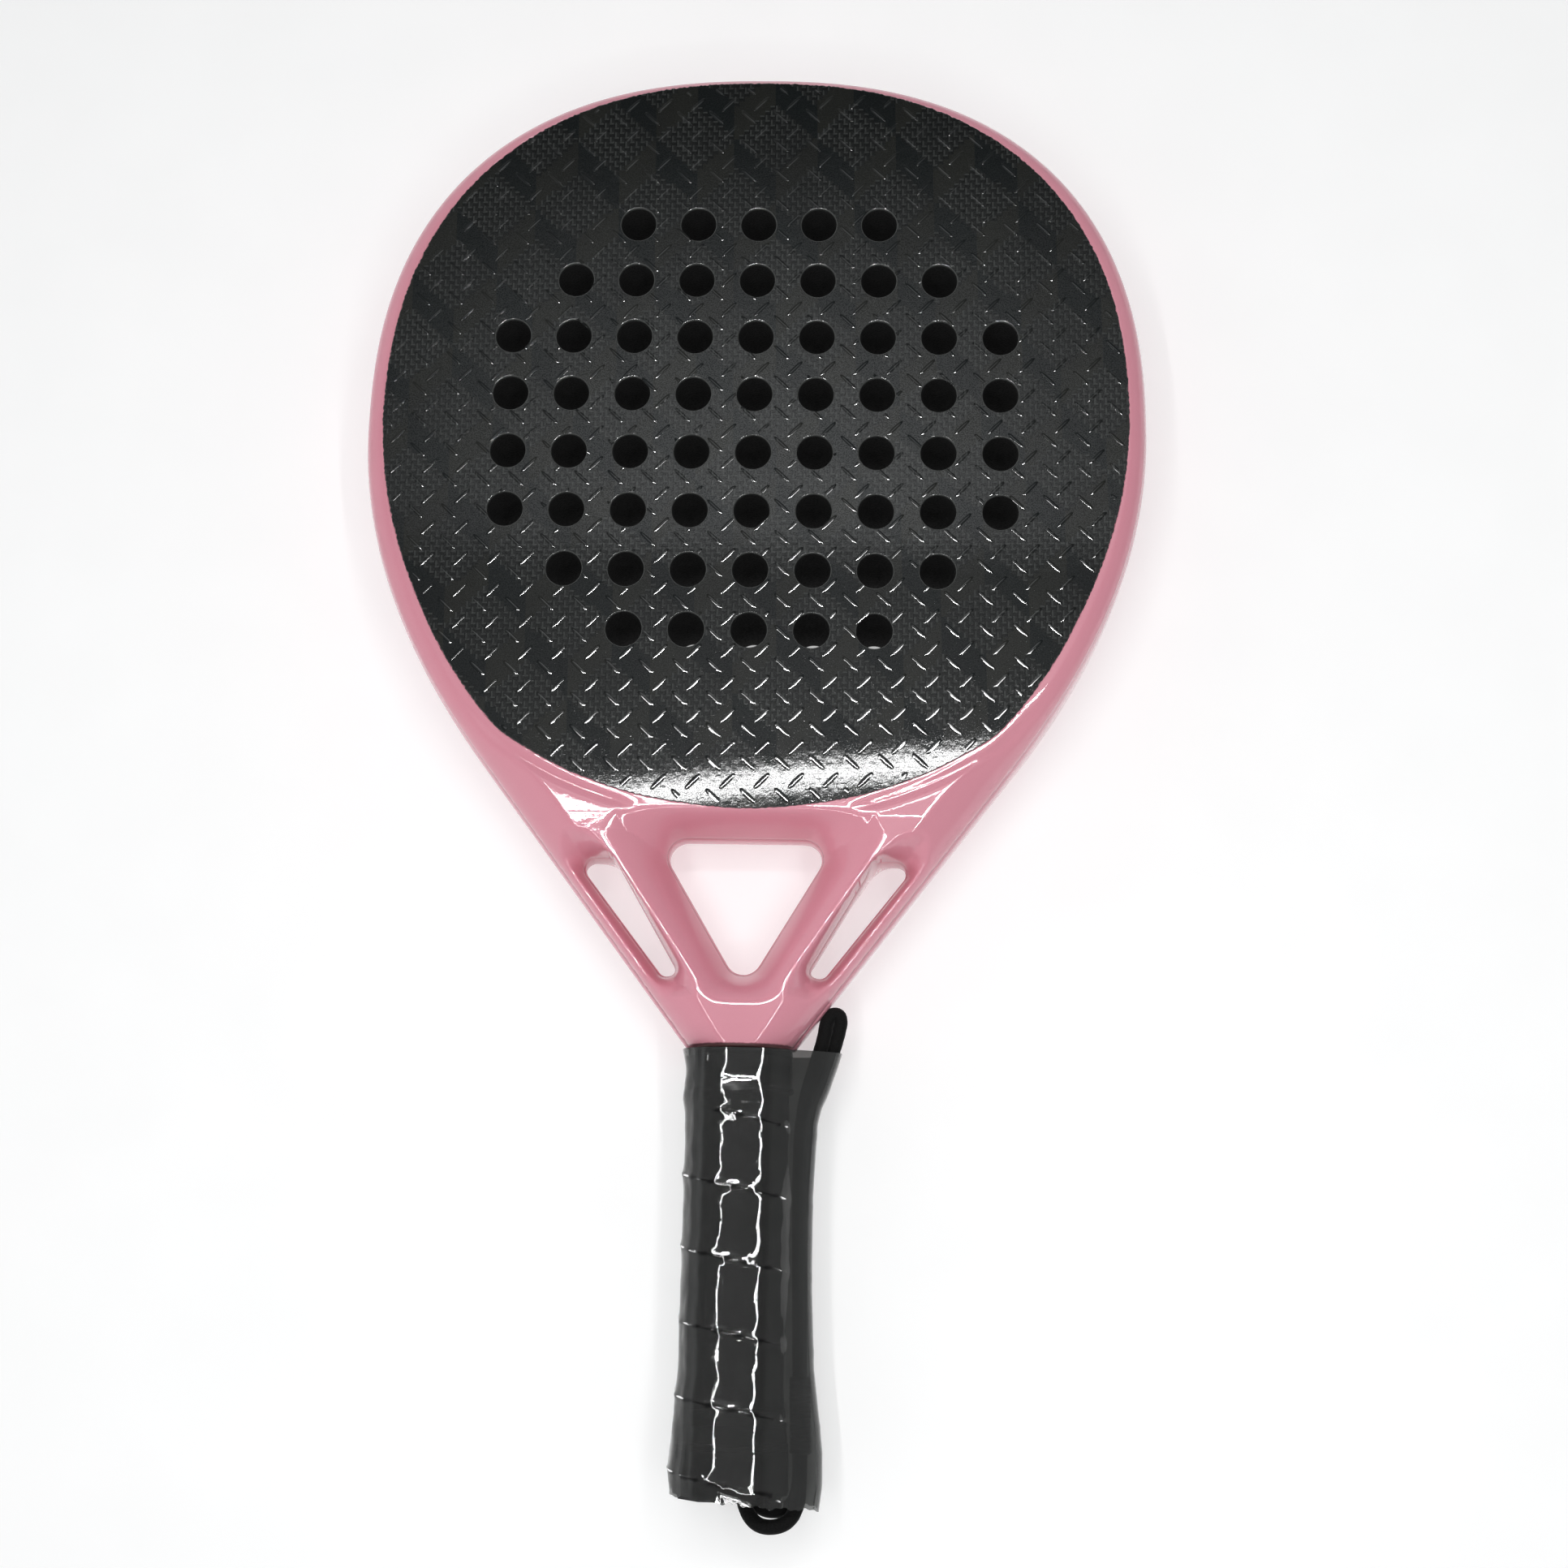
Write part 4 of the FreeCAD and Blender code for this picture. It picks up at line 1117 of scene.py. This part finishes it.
def carbon_skin():
    """Black woven carbon laid in a pattern of tumbling cubes, under a glossy clear coat."""
    n = Paint("carbon_skin")
    turned = n.make("VectorRotate", {"Vector": n.place, "Center": CUBE_PLACE, "Angle": -LAY_TURN},
                    rotation_type="Z_AXIS").outputs[0]
    lay = n.vector("SUBTRACT", turned, CUBE_PLACE)
    u, v = hexagon(n, lay)
    fold = n.math("MULTIPLY_ADD", n.size(u), CUBE_TOP / CUBE_WIDTH, (CUBE_EDGE - CUBE_TOP) / 2)
    woven = n.math("GREATER_THAN", v, fold)
    right = n.math("GREATER_THAN", u, 0.0)
    height, tow_painted_shine = basket(n, lay)
    fibre = n.noise(1.0, 3.0, 0.6, n.stretch(0.25, 4.0, 1))
    # painted reflection: the plain rhombs are near black, the cubes' left faces cool and darker and their
    # right faces warm and lighter, standing in for the fibres' sheen
    left_rhomb_tone_and_painted_sheen = n.blend(fibre, (0.0018, 0.0032, 0.0034), (0.0040, 0.0064, 0.0068))
    right_rhomb_tone_and_painted_sheen = n.blend(fibre, (0.0086, 0.0092, 0.0078), (0.0152, 0.0158, 0.0132))
    # the woven rhombs' tows, from near black to light by the painted shine
    tow_tone_and_painted_shine = n.blend(tow_painted_shine, (0.0014, 0.0020, 0.0020), (0.0360, 0.0385, 0.0370))
    base = n.blend(woven, n.blend(right, left_rhomb_tone_and_painted_sheen, right_rhomb_tone_and_painted_sheen), tow_tone_and_painted_shine)
    base = n.blend(n.span(n.noise(0.05, 3.0), 0.35, 0.7, 0.0, 0.40), base, (0.004, 0.0046, 0.005))
    depth = n.size(n.math("SUBTRACT", n.parts(n.place)[2], MIDDLE))
    # painted highlight: the cut edges at the rim and the holes are made pale grey
    base = n.blend(n.math("LESS_THAN", depth, HOLE_LIP), base, (0.060, 0.062, 0.060))
    speck = n.noise(1.9, 3.0, 0.6)
    grain = n.times(n.times(woven, height), 0.25)
    sparse = n.times(n.span(n.noise(2.3, 2.0, 0.5), 0.66, 0.80), 0.09)
    fine = n.add(n.times(grain, 0.10), n.times(speck, 0.055))
    relief = n.add(n.add(fine, sparse), n.times(n.noise(0.35, 3.0, 0.55), 0.20))
    calm = n.span(depth, HOLE_LIP + 0.015, HOLE_LIP + 0.05, 1.0, 0.0)    # 0 on the raised dashes
    mottle = n.mix(calm, 1.0, n.span(n.noise(2.8, 3.0, 0.65), 0.40, 0.62, 1.0, 0.34))
    under = n.bump(n.add(grain, n.times(speck, 0.12)), 0.10)
    return n.finish(Base_Color=base, Roughness=n.mix(woven, n.mix(right, 0.42, 0.36), 0.38), Normal=under,
                    Coat_Weight=mottle, Coat_Roughness=0.03, Coat_Normal=n.bump(n.times(relief, calm), 0.05),
                    IOR=1.45, Specular_IOR_Level=0.02)


def foam(name, dark, tow_painted_shine, pores):
    """Cut foam: a matt colour with open pores."""
    n = Paint(name)
    cell = n.cells(pores)
    # painted shade: each pore is darker towards its middle, where it is sunk deepest
    return n.finish(Base_Color=n.blend(n.span(cell, 0.1, 0.6), dark, tow_painted_shine), Normal=n.bump(cell, 0.12),
                    Roughness=n.span(cell, 0.1, 0.6, 0.95, 0.8), Specular_IOR_Level=0.15)


def moulded_plastic(name, base, rough, grain):
    """Black moulded plastic with a spark-eroded grain."""
    n = Paint(name)
    wear = n.noise(0.12, 4.0)
    shade = n.blend(n.span(wear, 0.35, 0.7), base, tuple(value * 1.5 for value in base))
    return n.finish(Base_Color=shade, Roughness=n.span(wear, 0.3, 0.7, rough, rough + 0.14),
                    Normal=n.bump(n.noise(2.6, 4.0), grain), Specular_IOR_Level=0.2)


def leather():
    """Black synthetic leather with small pores and long creases."""
    n = Paint("grip_leather")
    crease = n.noise(0.5, 5.0, 0.6, n.stretch(1.4, 0.5, 1.4))
    # painted shade: the leather is darker where the crease noise is low, in the hollows of its creases
    tone = n.blend(n.span(crease, 0.3, 0.7), (0.010, 0.010, 0.010), (0.022, 0.022, 0.021))
    height = n.add(n.span(n.cells(1.5), 0.05, 0.4), n.times(crease, 0.8))
    return n.finish(Base_Color=tone, Roughness=n.span(crease, 0.3, 0.7, 0.46, 0.6),
                    Normal=n.bump(height, 0.05), Specular_IOR_Level=0.1)


def rubber(name):
    """Smooth black rubber with a faint bloom."""
    n = Paint(name)
    haze = n.noise(0.3, 4.0)
    tone = n.blend(n.span(haze, 0.3, 0.7), (0.008, 0.008, 0.009), (0.018, 0.018, 0.019))
    return n.finish(Base_Color=tone, Roughness=n.span(haze, 0.3, 0.7, 0.26, 0.4),
                    Normal=n.bump(n.noise(2.0, 3.0), 0.02), Specular_IOR_Level=0.15)


def braided_nylon():
    """Black nylon yarn with a soft sheen."""
    n = Paint("braided_nylon")
    yarn = n.noise(2.2, 3.0, 0.6, n.stretch(1, 2.4, 1))
    tone = n.blend(n.span(yarn, 0.3, 0.7), (0.002, 0.002, 0.002), (0.010, 0.010, 0.010))
    return n.finish(Base_Color=tone, Roughness=n.span(yarn, 0.3, 0.7, 0.7, 0.9), Normal=n.bump(yarn, 0.12),
                    Sheen_Weight=0.12, Sheen_Roughness=0.4, Specular_IOR_Level=0.05)


PERFORATION_REACH, PERFORATION_HALF, PERFORATION_PITCH = 0.75, 0.17, 0.85     # from the sleeve's right fold


def clear_film():
    """Thin smoky plastic, clearer at its right fold, with a perforated line, and a painted shade over the
    tape's seams.
    """
    n = Paint("clear_film")
    haze = n.noise(0.18, 4.0)
    reach = n.marked("from_fold")
    lane = n.math("LESS_THAN", n.size(n.math("SUBTRACT", reach, PERFORATION_REACH)), PERFORATION_HALF)
    beat = n.math("FRACT", n.math("DIVIDE", n.parts(n.place)[1], PERFORATION_PITCH))
    pinhole = n.times(lane, n.math("LESS_THAN", beat, 0.5))
    smoke = n.blend(haze, (0.16, 0.165, 0.16), (0.24, 0.24, 0.235))
    smoke = n.blend(n.span(reach, 1.6, 4.2, 1.0, 0.0), smoke, (0.27, 0.275, 0.27))
    # painted shade over the seams between the tape's turns
    smoke = n.blend(n.span(n.marked("painted_seam_shade"), 0.2, 0.8), smoke, (0.03, 0.03, 0.03))
    smoke = n.blend(pinhole, smoke, (0.02, 0.02, 0.02))
    ripple = n.noise(0.6, 3.0, 0.5, n.stretch(1.0, 0.6, 1.0))
    return n.finish(Base_Color=smoke, Roughness=n.span(haze, 0.35, 0.7, 0.02, 0.05),
                    Normal=n.bump(ripple, 0.02), IOR=1.46, Transmission_Weight=0.91)


def brushed_steel():
    """Bright steel wire, drawn along its length."""
    n = Paint("staple_steel")
    brush = n.noise(1.0, 3.0, 0.6, n.stretch(0.3, 5, 5))
    tone = n.blend(brush, (0.50, 0.50, 0.50), (0.68, 0.68, 0.67))
    return n.finish(Base_Color=tone, Roughness=n.span(brush, 0.3, 0.7, 0.22, 0.42),
                    Normal=n.bump(brush, 0.01), Metallic=1.0)


def carbon_tube():
    """Plain woven laminate of the shaft inside the handle."""
    n = Paint("shaft_laminate")
    height, tow_painted_shine = basket(n, n.place)
    # painted shine and shade of the weave's relief, from basket()
    tone = n.blend(tow_painted_shine, (0.006, 0.006, 0.007), (0.034, 0.034, 0.036))
    return n.finish(Base_Color=tone, Roughness=n.span(height, 0, 1, 0.5, 0.3), Normal=n.bump(height, 0.08))


def pale_floor():
    """Nearly white paper that glows a little, so that shadows stay faint."""
    n = Paint("pale_floor")
    tone = n.blend(n.noise(0.03, 4.0), (0.58, 0.58, 0.58), (0.63, 0.63, 0.63))
    return n.finish(Base_Color=tone, Roughness=0.9, Emission_Color=(1, 1, 1, 1), Emission_Strength=0.49,
                    Specular_IOR_Level=0.02)


# ---------------------------------------------------------------- light
RING_CENTRE = (0.037, -0.159, 0.690)     # metres, like every length of the lamp
RING_WIDTH, RING_LENGTH, RING_STRIP = 0.381, 0.590, 0.014
RING_TURN = math.radians(7.3)
RING_RADIANCE = 32.6
TUBE_STRIP, TUBE_INSET, FAR_TUBE_INSET = 0.010, 0.019, 0.060
TUBE_RADIANCE = {"left": 70.0, "right": 70.0, "near": 20.0, "far": 400.0}
MIDDLE_RADIANCE = 0.16


def strip_light(name, place, size, radiance, only_glints=False):
    """One panel of the lamp, pointing down. Its place and size are (across, along) as the ring is turned."""
    data = bpy.data.lights.new(name, "AREA")
    data.shape = "RECTANGLE"
    data.size, data.size_y = size
    data.energy = radiance * 4 * size[0] * size[1]
    lamp = bpy.data.objects.new(name, data)
    c, s = math.cos(RING_TURN), math.sin(RING_TURN)
    across, along = place
    lamp.location = (RING_CENTRE[0] + across * c - along * s, RING_CENTRE[1] + across * s + along * c,
                     RING_CENTRE[2])
    lamp.rotation_euler = (0, 0, RING_TURN)
    lamp.visible_camera = False
    lamp.visible_transmission = not only_glints
    lamp.visible_diffuse = not only_glints
    bpy.context.scene.collection.objects.link(lamp)


def ring_lamp():
    """A rectangular ring lamp round the camera, with bright tubes and a faint middle only in glints."""
    across, along = RING_WIDTH / 2, RING_LENGTH / 2
    tube_size = (2 * (across - TUBE_INSET), 2 * (along - TUBE_INSET))
    upright, level = (RING_STRIP, RING_LENGTH + RING_STRIP), (RING_WIDTH - RING_STRIP, RING_STRIP)
    upright_tube, level_tube = (TUBE_STRIP, tube_size[1]), (tube_size[0], TUBE_STRIP)
    for name, place, size, tube_place, tube in (
            ("left", (-across, 0), upright, (-across, 0), upright_tube),
            ("right", (across, 0), upright, (across - TUBE_INSET, 0), upright_tube),
            ("near", (0, -along), level, (0, TUBE_INSET - along), level_tube),
            ("far", (0, along), level, (0, along - FAR_TUBE_INSET), level_tube)):
        strip_light(f"panel_{name}", place, size, RING_RADIANCE)
        strip_light(f"tube_{name}", tube_place, tube, TUBE_RADIANCE[name], True)
    strip_light("middle", (0, 0), (RING_WIDTH - RING_STRIP, RING_LENGTH - RING_STRIP), MIDDLE_RADIANCE, True)


def studio_world():
    """Soft light from all round, dimmer overhead, with one faint glow past the head."""
    world = bpy.data.worlds.new("studio")
    world.use_nodes = True
    n = Nodes(world.node_tree)
    x, y, z = n.parts(n.make("TexCoord", {}).outputs["Generated"])
    base = n.times(n.span(z, 0.40, 0.84, 0.55, 0.17), n.math("MULTIPLY_ADD", x, -0.45, 1.0))
    up = n.math("MAXIMUM", z, 0.05)
    ahead, aside = n.math("DIVIDE", y, up), n.math("DIVIDE", x, up)
    near = n.times(n.span(ahead, 0.326, 0.352, 0.28, 1.0), n.span(ahead, 0.18, 0.24))
    far = n.span(ahead, 0.36, 0.58, 1.0, 0.0)
    wide = n.span(n.size(n.add(aside, 0.04)), 0.0, 0.30, 1.0, 0.0)
    glow = n.times(n.times(n.times(near, far), wide), 1.75)
    back = n.make("Background", {"Color": (0.97, 0.99, 1.0, 1), "Strength": n.add(base, glow)})
    n.make("OutputWorld", {"Surface": back.outputs[0]})
    bpy.context.scene.world = world


FLOOR_HALF = 3000.0
FLOOR_DROP = 0.2      # how far it lies under the racket's back


def floor():
    """The paper that the racket lies on."""
    corners = [(FLOOR_HALF * x, FLOOR_HALF * y, 0) for x, y in ((-1, -1), (1, -1), (1, 1), (-1, 1))]
    plane = make_mesh("floor", corners, [(0, 1, 2, 3)])
    plane.location.z = -FLOOR_DROP * MM
    plane.data.materials.append(pale_floor())


# ---------------------------------------------------------------- putting it together
def add_cord():
    """The wrist cord and its slider."""
    line = spaced(centreline(CORD_ROUTE), 0.5)
    cord = dress(braid(line, CORD_DIAMETER / 2), braided_nylon(), "racket", "cord_braid", "wrist_cord")
    slider = dress(slider_sleeve(), rubber("slider_rubber"), "slider", "slider_rubber", "cord_slider")


def give(node_name, material):
    """A carried-over CAD node's own material."""
    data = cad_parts[node_name].data
    data.materials.clear()
    data.materials.append(material)


def carry_over():
    """Materials of the CAD nodes that stay as they are."""
    give("core_slab", foam("core_foam", (0.003, 0.003, 0.003), (0.010, 0.010, 0.010), 1.4))
    filler = foam("filler_foam", (0.42, 0.40, 0.34), (0.62, 0.60, 0.52), 1.2)
    give("frame_foam", filler)
    give("shaft_foam", filler)
    pallet = foam("pallet_foam", (0.28, 0.25, 0.19), (0.44, 0.40, 0.31), 1.0)
    give("handle_pallet_front", pallet)
    give("handle_pallet_back", pallet)
    give("handle_shaft", carbon_tube())
    give("butt_cap", moulded_plastic("cap_plastic", (0.012, 0.012, 0.013), 0.36, 0.05))
    give("butt_cap_staples", brushed_steel())
    give("finishing_tape", moulded_plastic("tape_plastic", (0.010, 0.010, 0.011), 0.18, 0.012))
    give("cord_knot", braided_nylon())


def build():
    """Makes every piece, then the light."""
    add_camera()
    add_cord()
    dress(sharpen(painted_frame(), 62), pink_lacquer(), "racket", "pink_paint", "frame_tube", "throat_bridge")
    skin = carbon_skin()
    dress(sharpen(face_skin("face_front", True), 50), skin, "racket", "carbon_face", "front_face_skin")
    dress(sharpen(face_skin("face_back", False), 50), skin, "racket", "carbon_face", "back_face_skin")
    dress(sharpen(leather_wrap(), 70), leather(), "racket", "grip_leather", "grip_wrap")
    dress(sharpen(rubber_collar(), 70), rubber("collar_rubber"), "racket", "collar_rubber", "grip_collar")
    dress(sharpen(film_sleeve(), 70), clear_film(), "racket", "clear_film", "grip_film_sleeve")
    carry_over()
    ring_lamp()
    studio_world()
    floor()
    bpy.context.scene.view_settings.view_transform = "Standard"


build()
